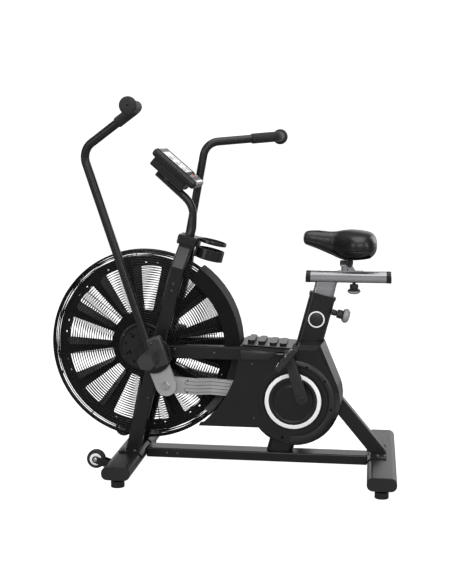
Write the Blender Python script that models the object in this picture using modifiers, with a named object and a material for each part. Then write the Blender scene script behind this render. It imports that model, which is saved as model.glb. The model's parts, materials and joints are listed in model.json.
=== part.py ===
"""Air bike: a fan-resisted exercise bike with swinging handlebars.

Units are metres and +Z is up.  The rider faces -X, the fan is at -X and the
saddle at +X, and the rider's left is -Y.  The origin is on the floor, under
the middle of the machine.
"""
import math

import bmesh
import bpy
from mathutils import Matrix, Vector

# ---------------------------------------------------------------- dimensions
GAP = 0.0003

# floor beams, their feet and the base rail
FRONT_BEAM_X = -0.3255
REAR_BEAM_X = 0.574
BEAM_LENGTH = 0.625
BEAM_WIDTH = 0.100
BEAM_HEIGHT = 0.045
BEAM_BOTTOM = 0.031
BEAM_TOP = BEAM_BOTTOM + BEAM_HEIGHT
BEAM_CORNER = 0.020
CAP_THICKNESS = 0.008
FOOT_RADIUS = 0.0235
FOOT_INSET = 0.036
FOOT_DISC = 0.021
FOOT_STEM = 0.009
FOOT_STEM_IN = 0.018
FOOT_HOLE = 0.0100
RAIL_WIDTH = 0.072
RAIL_TOP = 0.0713
RAIL_HEIGHT = 0.035
SADDLE_PLATE = 0.004

# transport wheels
WHEEL_X = -0.4157
WHEEL_Z = 0.0767
WHEEL_Y = 0.2145
WHEEL_RADIUS = 0.0325
WHEEL_WIDTH = 0.022
WHEEL_PIN = 0.005

# front posts
POST_LEAN = math.radians(14.25)
POST_FOOT_X = -0.3135
POST_INNER = 0.062
POST_THICKNESS = 0.040
POST_DEPTH = 0.050
POST_BEND = 0.685
POST_TOP = 0.782
POST_TOP_INNER = 0.006
SIDE_RAIL_LOW = 0.4175
SIDE_RAIL_HIGH = 0.4635
SIDE_RAIL_END = 0.262

# fan and its guard
FAN_X = -0.2794
FAN_Z = 0.450
FAN_RADIUS = 0.315
FAN_BLADES = 13
WINDOW_INNER = 0.125
WINDOW_OUTER = 0.286
BLADE_REACH = 0.030
FAN_HUB_RADIUS = 0.035
FAN_HUB_HALF = 0.036
FAN_AXLE_RADIUS = 0.008
BRACKET_RADIUS = 0.073
GUARD_RADIUS = 0.3448
GUARD_HUB_RADIUS = 0.077
BAND_RADIUS = 0.3515
BAND_HALF = 0.060
BAND_DEPTH = 0.055
BAND_WALL = 0.0014

# crank, pedals and belt
CRANK_X = 0.2645
CRANK_Z = 0.283
CRANK_LENGTH = 0.166
CRANK_ANGLE = math.radians(95.5)
THROW = 0.035
THROW_ANGLE = math.radians(24.0)
AXLE_RADIUS = 0.0125
SHELL_RADIUS = 0.029
SHELL_HALF = 0.034
WEB_INNER = 0.064
WEB_OUTER = 0.074
BIG_END_INNER = 0.079
BIG_END_OUTER = 0.095
BIG_END_RADIUS = 0.0235
DISC_INNER = 0.1195
DISC_OUTER = 0.129
DISC_RADIUS = 0.099
DISH_RADIUS = 0.073
ARM_INNER = 0.1345
ARM_OUTER = 0.1525
PEDAL_INNER = 0.1555
PEDAL_OUTER = 0.245
PEDAL_LENGTH = 0.095
PEDAL_TILT = math.radians(50.0)
BELT_INNER = 0.0375
BELT_OUTER = 0.0505
CRANK_PULLEY_RADIUS = 0.105
FAN_PULLEY_RADIUS = 0.0205
BELT_THICKNESS = 0.0018

# swinging arms
PIVOT_X = -0.222
PIVOT_Z = 0.437
LEFT_LEAN = math.radians(-18.5)
RIGHT_LEAN = math.radians(10.6)
LEVER = 0.117
LEVER_KICK = math.radians(-2.9)
SHAFT_RADIUS = 0.011
SLEEVE_RADIUS = 0.022
SLEEVE_INNER = 0.1065
LINK_INNER = 0.1290
LINK_OUTER = 0.1480
LINK_RADIUS = 0.0365
PIN_RADIUS = 0.0095
ROD_INNER = 0.1065
ROD_OUTER = 0.1255
ROD_DEEP = 0.0475
ROD_HEIGHT = 0.056
HUB_INNER = 0.1475
HUB_OUTER = 0.160
HUB_RADIUS = 0.064
SOCKET_OUTER = 0.1895
TUBE_Y = 0.1725
TUBE_RADIUS = 0.015
TUBE_OFFSET = -0.0010
TUBE_RISE = 0.7480
TUBE_REACH = 0.2560
TUBE_SPLAY = 0.070
TUBE_TURN = math.radians(15.6)
GRIP_LENGTH = 0.145
GRIP_RADIUS = 0.019
FLANGE_RADIUS = 0.029
GRIP_START = 0.64
BEND_RADIUS = 0.060
GRIP_BEND = 0.035
PEG_INNER = 0.1915
PEG_OUTER = 0.285
PEG_RADIUS = 0.0305

# seat
SEAT_LEAN = math.radians(14.7)
SEAT_TUBE_WIDTH = 0.092
SEAT_TUBE_THICK = 0.045
SEAT_TUBE_TOP = 0.372
SEAT_POST_WIDTH = 0.076
SEAT_POST_THICK = 0.034
SEAT_POST_HIDDEN = 0.270
SLIDER_LEFT = 0.298
SLIDER_RIGHT = 0.596
SLIDER_Z = 0.7057
SLIDER_HEIGHT = 0.040
SLIDER_WIDTH = 0.044
SLIDER_WALL = 0.003
CARRIAGE_X = 0.4335
CARRIAGE_RADIUS = 0.0125
SLOT_WIDTH = 0.030
SADDLE_SEAT = 0.7615
STRUT_DEPTH = 0.050
STRUT_WIDTH = 0.044
KNOB_X = 0.4669
PIN_HEIGHT = 0.319
PIN_TIP = 0.0075
PIN_HOLE = 0.0062
PIN_SPACING = 0.030
SLIDER_PLUG = 0.018

# covers
COVER_OUTER = 0.1180
COVER_FULL = 0.0940
COVER_WALL = 0.003
COVER_ARC = 0.3530
COVER_ARC_X = -0.278
COVER_ARC_Z = 0.4668
COVER_BOTTOM = 0.182
COVER_FRONT_TOP = 0.4675
COVER_REAR_TOP = 0.4570
COVER_REAR_X = 0.272
COVER_NECK = 0.4790
LOBE_X = 0.272
LOBE_Z = 0.281
LOBE_RADIUS = 0.1645
SHOULDER_X = 0.3680
PART_LINE = 0.0004
TRAY_START = 0.082
TRAY_END = 0.262

# console and bottle holder
CONSOLE_TILT = math.radians(41.0)
CONSOLE_X = -0.157
CONSOLE_Z = 1.083
CONSOLE_LENGTH = 0.192
CONSOLE_WIDTH = 0.175
CONSOLE_THICK = 0.030
HINGE_X = -0.198
HINGE_Z = 1.0446
MAST_RADIUS = 0.014
HOLDER_X = -0.035
HOLDER_Z = 0.812
HOLDER_RADIUS = 0.048

ROUND = 32
SMALL_ROUND = 20

# ---------------------------------------------------------------- collections
for leftover in list(bpy.data.objects):
    bpy.data.objects.remove(leftover)
PARTS = bpy.data.collections.new("air_bike")
CUTTERS = bpy.data.collections.new("cutters")
bpy.context.scene.collection.children.link(PARTS)
bpy.context.scene.collection.children.link(CUTTERS)


# ---------------------------------------------------------------- materials
def material(name, colour, roughness, metallic=0.0):
    """A Principled material with one colour."""
    made = bpy.data.materials.new(name)
    made.use_nodes = True
    shader = made.node_tree.nodes["Principled BSDF"]
    shader.inputs["Base Color"].default_value = (*colour, 1.0)
    shader.inputs["Roughness"].default_value = roughness
    shader.inputs["Metallic"].default_value = metallic
    return made


PAINT = material("black_paint", (0.022, 0.022, 0.024), 0.42)
SHELL = material("black_shell", (0.026, 0.026, 0.028), 0.36)
DARK = material("dark_casting", (0.05, 0.05, 0.053), 0.45)
GREY = material("grey_casting", (0.23, 0.23, 0.235), 0.40)
SILVER = material("brushed_aluminium", (0.72, 0.72, 0.74), 0.30, 1.0)
STEEL = material("bright_steel", (0.55, 0.55, 0.56), 0.28, 1.0)
RUBBER = material("black_rubber", (0.02, 0.02, 0.02), 0.75)
FOAM = material("grip_foam", (0.03, 0.03, 0.032), 0.85)
VINYL = material("saddle_vinyl", (0.015, 0.015, 0.017), 0.5)
WIRE = material("black_wire", (0.018, 0.018, 0.02), 0.38)
RED = material("red_button", (0.55, 0.03, 0.03), 0.4)


# ---------------------------------------------------------------- helpers
def link(obj, collection=PARTS):
    """Put an object in one collection only."""
    for home in list(obj.users_collection):
        home.objects.unlink(obj)
    collection.objects.link(obj)
    return obj


def finish(obj, name, paint, smooth=40.0):
    """Name a finished part, paint it and shade its round faces."""
    obj.name = name
    obj.data.name = name
    obj.data.materials.clear()
    obj.data.materials.append(paint)
    obj.data.shade_smooth()
    obj.data.set_sharp_from_angle(angle=math.radians(smooth))
    return link(obj)


def mesh_of(obj):
    """Turn a curve, or an object with modifiers, into a plain mesh object."""
    bpy.context.view_layer.update()
    graph = bpy.context.evaluated_depsgraph_get()
    mesh = bpy.data.meshes.new_from_object(obj.evaluated_get(graph))
    shape = bmesh.new()
    shape.from_mesh(mesh)
    bmesh.ops.remove_doubles(shape, verts=shape.verts, dist=1e-6)
    bmesh.ops.recalc_face_normals(shape, faces=shape.faces)
    shape.to_mesh(mesh)
    shape.free()
    made = bpy.data.objects.new(obj.name, mesh)
    made.matrix_world = obj.matrix_world.copy()
    bpy.context.scene.collection.objects.link(made)
    bpy.data.objects.remove(obj)
    return made


def settle(obj):
    """Write an object's place into its mesh, so its origin is the world's."""
    bpy.context.view_layer.update()
    obj.data.transform(obj.matrix_world)
    obj.matrix_world = Matrix.Identity(4)
    return obj


def box(low, high, round_edge=0.0):
    """A box between two corners, with rounded edges where asked."""
    low = Vector(low)
    high = Vector(high)
    bpy.ops.mesh.primitive_cube_add(size=1.0, location=(low + high) / 2)
    obj = bpy.context.object
    obj.scale = high - low
    settle(obj)
    if round_edge:
        soften(obj, round_edge)
    return obj


def soften(obj, width, segments=2, angle=35.0):
    """Round the sharp edges of an object."""
    bevel = obj.modifiers.new("soften", 'BEVEL')
    bevel.width = width
    bevel.segments = segments
    bevel.limit_method = 'ANGLE'
    bevel.angle_limit = math.radians(angle)
    return obj


def rod_y(x, z, radius, start, end, sides=ROUND):
    """A cylinder along Y between two Y values."""
    bpy.ops.mesh.primitive_cylinder_add(
        vertices=sides, radius=radius, depth=abs(end - start),
        location=(x, (start + end) / 2, z), rotation=(math.pi / 2, 0, 0))
    return settle(bpy.context.object)


def rod_z(x, y, radius, low, high, sides=ROUND):
    """A cylinder along Z between two Z values."""
    bpy.ops.mesh.primitive_cylinder_add(
        vertices=sides, radius=radius, depth=high - low, location=(x, y, (low + high) / 2))
    return settle(bpy.context.object)


def arc(cx, cy, radius, start, end, count):
    """Points along an arc, angles in radians."""
    step = (end - start) / (count - 1)
    return [(cx + radius * math.cos(start + step * i), cy + radius * math.sin(start + step * i))
            for i in range(count)]


def rounded(width, height, corner, count=5, cx=0.0, cy=0.0):
    """A rectangle outline with round corners."""
    points = []
    quarter = math.pi / 2
    for turn, (sx, sy) in enumerate(((1, 1), (-1, 1), (-1, -1), (1, -1))):
        px = cx + sx * (width / 2 - corner)
        py = cy + sy * (height / 2 - corner)
        points += arc(px, py, corner, turn * quarter, (turn + 1) * quarter, count)
    return points


def plate(points, thickness, holes=()):
    """A flat outline in XY, extruded evenly about Z = 0, as a mesh object."""
    curve = bpy.data.curves.new("outline", 'CURVE')
    curve.dimensions = '2D'
    curve.fill_mode = 'BOTH'
    curve.extrude = thickness / 2
    for outline in (points, *holes):
        spline = curve.splines.new('POLY')
        spline.points.add(len(outline) - 1)
        for point, (px, py) in zip(spline.points, outline):
            point.co = (px, py, 0.0, 1.0)
        spline.use_cyclic_u = True
    obj = bpy.data.objects.new("outline", curve)
    bpy.context.scene.collection.objects.link(obj)
    return mesh_of(obj)


# Local XY becomes world XZ, and local +Z becomes world -Y.
STAND_UP = Matrix.Rotation(math.pi / 2, 4, 'X')


def side_plate(points, start, end, holes=()):
    """A side-view outline in XZ, extruded along Y from start to end."""
    obj = plate(points, abs(end - start), holes)
    obj.matrix_world = Matrix.Translation((0, (start + end) / 2, 0)) @ STAND_UP
    return settle(obj)


def tube(points, radius, sides=2, name="tube"):
    """A round bar through points, with flat filled ends."""
    curve = bpy.data.curves.new(name, 'CURVE')
    curve.dimensions = '3D'
    curve.bevel_depth = radius
    curve.bevel_resolution = sides
    curve.use_fill_caps = True
    spline = curve.splines.new('POLY')
    spline.points.add(len(points) - 1)
    for point, place in zip(spline.points, points):
        point.co = (*place, 1.0)
    obj = bpy.data.objects.new(name, curve)
    bpy.context.scene.collection.objects.link(obj)
    return mesh_of(obj)


def bent_path(corners, radii, count=6):
    """Points along straight runs joined by round bends at the inner corners."""
    path = [Vector(corners[0])]
    for before, corner, after, radius in zip(corners, corners[1:], corners[2:], radii):
        corner = Vector(corner)
        back = (Vector(before) - corner).normalized()
        ahead = (Vector(after) - corner).normalized()
        half = back.angle(ahead) / 2
        reach = radius / math.tan(half)
        centre = corner + (back + ahead).normalized() * (radius / math.sin(half))
        start = corner + back * reach - centre
        end = corner + ahead * reach - centre
        sweep = start.angle(end)
        for i in range(count + 1):
            share = i / count
            mix = (start * math.sin((1 - share) * sweep) + end * math.sin(share * sweep))
            path.append(centre + mix / math.sin(sweep))
    path.append(Vector(corners[-1]))
    return path


def turned(profile, steps, sweep=2 * math.pi):
    """A profile of (radius, height) turned about Z, down its outer side first."""
    mesh = bpy.data.meshes.new("profile")
    edges = [(i, i + 1) for i in range(len(profile) - 1)]
    if profile[0][0] > 0.0 or profile[-1][0] > 0.0:
        edges.append((len(profile) - 1, 0))
    mesh.from_pydata([(r, 0.0, z) for r, z in profile], edges, [])
    obj = bpy.data.objects.new("turned", mesh)
    bpy.context.scene.collection.objects.link(obj)
    screw = obj.modifiers.new("turn", 'SCREW')
    screw.angle = sweep
    screw.steps = steps
    screw.render_steps = steps
    screw.use_merge_vertices = True
    screw.merge_threshold = 0.00001
    return mesh_of(obj)


def turned_y(profile, x, z, steps=ROUND, side=1):
    """A profile turned about Y: heights run outward along side * Y."""
    obj = turned(profile, steps)
    lay = Matrix.Rotation(-math.pi / 2 * side, 4, 'X')
    obj.matrix_world = Matrix.Translation((x, 0, z)) @ lay
    return settle(obj)


def tool(obj):
    """Hide a shape that only cuts or joins."""
    obj.hide_render = True
    obj.display_type = 'WIRE'
    return link(obj, CUTTERS)


def combine(obj, others, operation):
    """Boolean several shapes into one part."""
    for other in others:
        step = obj.modifiers.new(operation.lower(), 'BOOLEAN')
        step.operation = operation
        step.object = tool(other)
        step.solver = 'EXACT'
    return obj


def cut(obj, *others):
    """Take shapes away from a part."""
    return combine(obj, others, 'DIFFERENCE')


def weld(obj, *others):
    """Join shapes to a part as one body."""
    return combine(obj, others, 'UNION')


def sides():
    """The rider's left and right: a name and the sign of Y."""
    return (("left", -1), ("right", 1))


def leaned(x, z, lean):
    """A frame at a point in the side view, its local Z leaned towards +X."""
    return Matrix.Translation((x, 0, z)) @ Matrix.Rotation(lean, 4, 'Y')


def pinned(obj, x, y, z):
    """Move a part's origin to its joint, leaving its shape in place."""
    obj.data.transform(Matrix.Translation((-x, -y, -z)))
    obj.location = (x, y, z)
    return obj


# ---------------------------------------------------------------- floor frame
def beam_outline(x, grow=0.0):
    """The section of a floor beam, in the side view."""
    return rounded(BEAM_WIDTH + 2 * grow, BEAM_HEIGHT + 2 * grow, BEAM_CORNER + grow, 6,
                   x, BEAM_BOTTOM + BEAM_HEIGHT / 2)


def floor_beam(x):
    """A floor beam without its end caps, with a hole for each foot's screw."""
    half = BEAM_LENGTH / 2 - CAP_THICKNESS - GAP
    beam = side_plate(beam_outline(x), -half, half)
    deep = BEAM_BOTTOM + FOOT_STEM_IN + 0.003
    for side in (-1, 1):
        cut(beam, rod_z(x, side * (BEAM_LENGTH / 2 - FOOT_INSET), FOOT_HOLE, 0.0, deep, 16))
    return beam


def wheel_fork(side):
    """The fork and pin that carry a transport wheel."""
    shapes = []
    y = side * WHEEL_Y
    for edge in (-1, 1):
        inner = y + edge * (WHEEL_WIDTH / 2 + 0.001)
        outer = inner + edge * 0.004
        reach = [(FRONT_BEAM_X - 0.030, BEAM_TOP - 0.006), (FRONT_BEAM_X - 0.030, BEAM_BOTTOM + 0.010)]
        nose = arc(WHEEL_X, WHEEL_Z, 0.012, math.radians(250), math.radians(90), 7)
        shapes.append(side_plate(reach + nose, min(inner, outer), max(inner, outer)))
    span = WHEEL_WIDTH / 2 + 0.004
    shapes.append(rod_y(WHEEL_X, WHEEL_Z, WHEEL_PIN, y - span, y + span, 12))
    return shapes


def make_floor_frame():
    """Both floor beams, their caps, and the rail between them."""
    front = floor_beam(FRONT_BEAM_X)
    weld(front, *wheel_fork(-1), *wheel_fork(1))
    finish(front, "front_floor_beam", PAINT)
    finish(floor_beam(REAR_BEAM_X), "rear_floor_beam", PAINT)
    for end, x in (("front", FRONT_BEAM_X), ("rear", REAR_BEAM_X)):
        for name, side in sides():
            outer = side * BEAM_LENGTH / 2
            inner = side * (BEAM_LENGTH / 2 - CAP_THICKNESS)
            cap = side_plate(beam_outline(x), min(inner, outer), max(inner, outer))
            finish(cap, f"{end}_{name}_end_cap", RUBBER)
    start = FRONT_BEAM_X + BEAM_WIDTH / 2 + GAP
    end = REAR_BEAM_X - BEAM_WIDTH / 2 - GAP
    rail = box((start, -RAIL_WIDTH / 2, RAIL_TOP - RAIL_HEIGHT), (end, RAIL_WIDTH / 2, RAIL_TOP))
    soften(rail, 0.004, 2)
    finish(rail, "base_rail", PAINT)


def make_feet():
    """Four levelling feet, each a rubber disc on a screw."""
    for end, x in (("front", FRONT_BEAM_X), ("rear", REAR_BEAM_X)):
        for name, side in sides():
            y = side * (BEAM_LENGTH / 2 - FOOT_INSET)
            foot = rod_z(x, y, FOOT_RADIUS, 0.0, FOOT_DISC, 24)
            weld(foot, rod_z(x, y, FOOT_STEM, FOOT_DISC - 0.001, BEAM_BOTTOM + FOOT_STEM_IN, 16))
            foot = pinned(mesh_of(foot), x, y, FOOT_DISC)
            finish(foot, f"{end}_{name}_foot", RUBBER)


def make_wheels():
    """Two transport wheels ahead of the front beam."""
    half = WHEEL_WIDTH / 2
    bore = WHEEL_PIN + GAP
    profile = [(WHEEL_RADIUS, half - 0.003), (WHEEL_RADIUS, 0.003 - half), (WHEEL_RADIUS - 0.003, -half),
               (bore, -half), (bore, half), (WHEEL_RADIUS - 0.003, half)]
    for name, side in sides():
        wheel = turned_y(profile, WHEEL_X, WHEEL_Z, 24)
        wheel.data.transform(Matrix.Translation((0, side * WHEEL_Y, 0)))
        pinned(wheel, WHEEL_X, side * WHEEL_Y, WHEEL_Z)
        finish(wheel, f"{name}_transport_wheel", RUBBER)


# ---------------------------------------------------------------- front posts
def post_x(z):
    """Where the posts' centre line is at a height."""
    return POST_FOOT_X + math.tan(POST_LEAN) * (z - BEAM_TOP)


def front_post(name, side):
    """One post: straight beside the fan, then bent in to the collar."""
    outer = POST_INNER + POST_THICKNESS
    top_outer = POST_TOP_INNER + POST_THICKNESS * 0.9
    outline = [(POST_INNER, -0.02), (outer, -0.02), (outer, POST_BEND), (top_outer, POST_TOP - 0.030),
               (top_outer, POST_TOP), (POST_TOP_INNER, POST_TOP), (POST_TOP_INNER, POST_TOP - 0.015),
               (POST_INNER, POST_BEND + 0.004)]
    if side < 0:
        outline = [(-px, py) for px, py in reversed(outline)]
    post = plate(outline, POST_DEPTH)
    turn = Matrix(((0, 0, 1, 0), (1, 0, 0, 0), (0, 1, 0, 0), (0, 0, 0, 1)))
    post.matrix_world = leaned(POST_FOOT_X, BEAM_TOP, POST_LEAN) @ turn
    settle(post)
    soften(post, 0.006, 2, 60.0)
    floor = box((-0.5, -0.3, -0.1), (-0.1, 0.3, BEAM_TOP + GAP + 0.002))
    cut(post, floor)
    foot_inner = side * (POST_INNER - 0.008)
    foot_outer = side * (POST_INNER + POST_THICKNESS + 0.024)
    low, high = min(foot_inner, foot_outer), max(foot_inner, foot_outer)
    near = GAP
    far = GAP + SADDLE_PLATE
    reach = BEAM_WIDTH / 2 - BEAM_CORNER
    top = BEAM_TOP - BEAM_CORNER
    curve_in = arc(FRONT_BEAM_X + reach, top, BEAM_CORNER + near, math.pi / 2, 0.12, 6)
    curve_out = arc(FRONT_BEAM_X + reach, top, BEAM_CORNER + far, 0.12, math.pi / 2, 6)
    front_edge = FRONT_BEAM_X - BEAM_WIDTH / 2 + 0.018
    wrap = [(front_edge, BEAM_TOP + near), *curve_in, *curve_out, (front_edge, BEAM_TOP + far)]
    weld(post, side_plate(wrap, low, high))
    ear_inner = side * (POST_INNER - 0.006)
    ear_outer = side * (POST_INNER + 0.002)
    ear = rod_y(FAN_X, FAN_Z, BRACKET_RADIUS, ear_inner, ear_outer)
    weld(post, ear)
    cut(post, rod_y(FAN_X, FAN_Z, FAN_AXLE_RADIUS + GAP, side * 0.03, side * 0.09, SMALL_ROUND))
    return finish(post, f"{name}_front_post", PAINT)


def side_rail(name, side):
    """A level tube from the post back into the covers, with its gusset."""
    y0 = side * (POST_INNER + 0.0015)
    y1 = side * (POST_INNER + POST_THICKNESS - 0.0015)
    low, high = min(y0, y1), max(y0, y1)
    mid = (SIDE_RAIL_LOW + SIDE_RAIL_HIGH) / 2
    start = POST_DEPTH / 2 / math.cos(POST_LEAN) + GAP
    rail = box((post_x(mid) - 0.03, low, SIDE_RAIL_LOW), (SIDE_RAIL_END, high, SIDE_RAIL_HIGH))
    soften(rail, 0.004, 2)
    gusset = [(post_x(0.345) - 0.01, 0.345), (post_x(0.345) + start + 0.014, 0.345),
              (post_x(0.40) + start + 0.040, SIDE_RAIL_LOW + 0.004), (post_x(0.40), SIDE_RAIL_LOW + 0.004)]
    weld(rail, side_plate(gusset, low + 0.002, high - 0.002))
    trim = box((-0.25, -0.2, -0.3), (start, 0.2, 0.6))
    trim.matrix_world = leaned(POST_FOOT_X, BEAM_TOP, POST_LEAN)
    settle(trim)
    step = box((TRAY_START - 0.0085, low - 0.01, COVER_REAR_TOP - 0.0055), (0.3, high + 0.01, 0.5))
    cut(rail, trim, step)
    return finish(rail, f"{name}_side_rail", PAINT)


def make_collar():
    """The sleeve that holds both post tops and the console mast."""
    half_y = POST_TOP_INNER + POST_THICKNESS * 0.9 + GAP + 0.003
    collar = box((-0.034, -half_y, POST_TOP - 0.022), (0.034, half_y, POST_TOP + 0.012))
    collar.matrix_world = leaned(POST_FOOT_X, BEAM_TOP, POST_LEAN)
    settle(collar)
    soften(collar, 0.005, 2)
    inner = box((-POST_DEPTH / 2 - GAP, GAP - half_y + 0.003 - 0.0006, POST_TOP - 0.060),
                (POST_DEPTH / 2 + GAP, half_y - 0.003 + 0.0003, POST_TOP + GAP))
    inner.matrix_world = leaned(POST_FOOT_X, BEAM_TOP, POST_LEAN)
    settle(inner)
    cut(collar, inner)
    return finish(collar, "post_collar", PAINT)


# ---------------------------------------------------------------- fan
def guard_profile(radius):
    """How far the guard's outer surface stands off the middle plane."""
    shoulder = 0.285
    flat = 0.0585 - 0.004 * (radius / shoulder) ** 2
    if radius <= shoulder:
        return flat
    share = (radius - shoulder) / (GUARD_RADIUS - shoulder)
    edge = 0.0585 - 0.004
    return 0.0045 + (edge - 0.0045) * math.sqrt(max(0.0, 1 - share ** 2.2))


def sector(inner, outer, middle, half, count=4):
    """A ring sector about the fan's centre, in the side view."""
    outer_arc = arc(FAN_X, FAN_Z, outer, middle - half, middle + half, count)
    inner_arc = arc(FAN_X, FAN_Z, inner, middle + half, middle - half, count)
    return outer_arc + inner_arc


def fan_guard(name, side):
    """Half of the fan's cage, as a dome with wide windows."""
    radii = [GUARD_HUB_RADIUS, 0.235, 0.290, 0.325, 0.340, GUARD_RADIUS - 0.001]
    outer = [(r, guard_profile(r)) for r in reversed(radii)]
    inner = [(r, guard_profile(r) - 0.003) for r in radii]
    profile = [(GUARD_RADIUS, 0.0010), (GUARD_RADIUS, 0.0045)] + outer[1:] + inner[:-1]
    guard = turned_y(list(reversed(profile)), FAN_X, FAN_Z, 32, side)
    cutters = []
    spokes = 8
    for low, high in ((0.095, 0.190), (0.205, 0.318)):
        for spoke in range(spokes):
            middle = 2 * math.pi * (spoke + 0.5) / spokes
            half = math.pi / spokes - 0.009 / low
            cutters.append(side_plate(sector(low, high, middle, half, 3), side * 0.004, side * 0.08))
    return guard, cutters


def joined(shapes):
    """Several closed shapes that do not touch, as one cutting object."""
    mesh = bpy.data.meshes.new("joined")
    pile = bmesh.new()
    for shape in shapes:
        pile.from_mesh(shape.data)
        bpy.data.objects.remove(shape)
    pile.to_mesh(mesh)
    pile.free()
    obj = bpy.data.objects.new("joined", mesh)
    bpy.context.scene.collection.objects.link(obj)
    return obj


def make_guards():
    """Both halves of the cage; the right one is notched for the belt."""
    for name, side in sides():
        guard, windows = fan_guard(name, side)
        cut(guard, joined(windows))
        if side > 0:
            notch = sector(0.262, 0.36, math.radians(-17), math.radians(17), 4)
            cut(guard, side_plate(notch, 0.0065, 0.09))
        finish(guard, f"{name}_fan_guard", WIRE)


def make_band():
    """The solid fender over the cage's upper rear quarter."""
    middle = math.radians(26.0)
    half = math.radians(28.0)
    solid = sector(BAND_RADIUS - BAND_DEPTH, BAND_RADIUS, middle, half, 11)
    band = side_plate(solid, -BAND_HALF, BAND_HALF)
    hollow = sector(BAND_RADIUS - BAND_DEPTH - 0.01, BAND_RADIUS - 0.003, middle, half + 0.05, 11)
    cut(band, side_plate(hollow, BAND_WALL - BAND_HALF, BAND_HALF - BAND_WALL))
    finish(band, "guard_band", SHELL)


def make_fan():
    """The fan wheel, its blades and its hub, on a fixed axle."""
    wheel = rod_y(FAN_X, FAN_Z, FAN_RADIUS, -0.0015, 0.0015, 52)
    openings = []
    blades = []
    for index in range(FAN_BLADES):
        middle = math.radians(2.3) + 2 * math.pi * index / FAN_BLADES
        half = math.radians(7.6)
        openings.append(side_plate(sector(WINDOW_INNER, WINDOW_OUTER, middle, half, 2), -0.01, 0.01))
        edge = middle + half + math.radians(1.2)
        blade = box((WINDOW_INNER - 0.01, -BLADE_REACH, -0.001), (WINDOW_OUTER, BLADE_REACH, 0.001))
        blade.matrix_world = (Matrix.Translation((FAN_X, 0, FAN_Z))
                              @ Matrix.Rotation(-edge, 4, 'Y'))
        blades.append(settle(blade))
    cut(wheel, joined(openings))
    weld(wheel, joined(blades))
    weld(wheel, rod_y(FAN_X, FAN_Z, FAN_HUB_RADIUS, -FAN_HUB_HALF, FAN_HUB_HALF, 24))
    cut(wheel, rod_y(FAN_X, FAN_Z, FAN_AXLE_RADIUS + GAP, -0.05, 0.05, SMALL_ROUND))
    wheel = mesh_of(wheel)
    pinned(wheel, FAN_X, 0, FAN_Z)
    finish(wheel, "fan_wheel", PAINT)
    end = POST_INNER + 0.016
    axle = rod_y(FAN_X, FAN_Z, FAN_AXLE_RADIUS, -end, end, SMALL_ROUND)
    for side in (-1, 1):
        head = rod_y(FAN_X, FAN_Z, 0.014, side * (POST_INNER + 0.0025), side * end, 6)
        weld(axle, head)
    finish(axle, "fan_axle", STEEL)
    pulley = rod_y(FAN_X, FAN_Z, FAN_PULLEY_RADIUS, BELT_INNER - 0.001, BELT_OUTER + 0.0005, 28)
    cut(pulley, rod_y(FAN_X, FAN_Z, FAN_AXLE_RADIUS + GAP, 0.02, 0.07, SMALL_ROUND))
    pulley = mesh_of(pulley)
    pinned(pulley, FAN_X, 0, FAN_Z)
    finish(pulley, "fan_pulley", STEEL)


# ---------------------------------------------------------------- drive
def belt_outline(extra):
    """A loop round both pulleys, a given height over their rims."""
    run = math.hypot(CRANK_X - FAN_X, CRANK_Z - FAN_Z)
    heading = math.atan2(CRANK_Z - FAN_Z, CRANK_X - FAN_X)
    spread = math.acos((FAN_PULLEY_RADIUS - CRANK_PULLEY_RADIUS) / run)
    big = arc(CRANK_X, CRANK_Z, CRANK_PULLEY_RADIUS + extra, heading - spread, heading + spread, 26)
    small = arc(FAN_X, FAN_Z, FAN_PULLEY_RADIUS + extra, heading + spread,
                heading + 2 * math.pi - spread, 10)
    return big + small


def make_belt():
    """The flat belt from the crank pulley to the fan pulley."""
    slack = GAP + 0.0008
    belt = side_plate(belt_outline(slack + BELT_THICKNESS), BELT_INNER, BELT_OUTER, [belt_outline(slack)])
    finish(belt, "drive_belt", RUBBER)


def throw_point(side):
    """The crank pin's centre on one side."""
    angle = THROW_ANGLE + (0 if side < 0 else math.pi)
    return CRANK_X + THROW * math.cos(angle), CRANK_Z + THROW * math.sin(angle)


def pedal_point(side):
    """The pedal spindle's centre on one side."""
    angle = CRANK_ANGLE + (0 if side < 0 else math.pi)
    return CRANK_X + CRANK_LENGTH * math.cos(angle), CRANK_Z + CRANK_LENGTH * math.sin(angle)


def capsule(x0, z0, r0, x1, z1, r1, count=8):
    """The outline of a bar with round ends of two sizes."""
    heading = math.atan2(z1 - z0, x1 - x0)
    spread = math.acos((r0 - r1) / math.hypot(x1 - x0, z1 - z0))
    return (arc(x1, z1, r1, heading - spread, heading + spread, count)
            + arc(x0, z0, r0, heading + spread, heading + 2 * math.pi - spread, count))


def make_crankshaft():
    """The axle, its webs and the two crank pins, as one forging."""
    shaft = rod_y(CRANK_X, CRANK_Z, AXLE_RADIUS, -WEB_OUTER + 0.001, WEB_OUTER - 0.001, 24)
    for name, side in sides():
        px, pz = throw_point(side)
        web = capsule(CRANK_X, CRANK_Z, 0.020, px, pz, 0.017)
        weld(shaft, side_plate(web, *sorted((side * WEB_INNER, side * WEB_OUTER))))
        pin = rod_y(px, pz, AXLE_RADIUS - 0.001, side * (WEB_OUTER - 0.002), side * (DISC_INNER - GAP), 20)
        weld(shaft, pin)
    shaft = mesh_of(shaft)
    pinned(shaft, CRANK_X, 0, CRANK_Z)
    finish(shaft, "crankshaft", STEEL)


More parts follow.
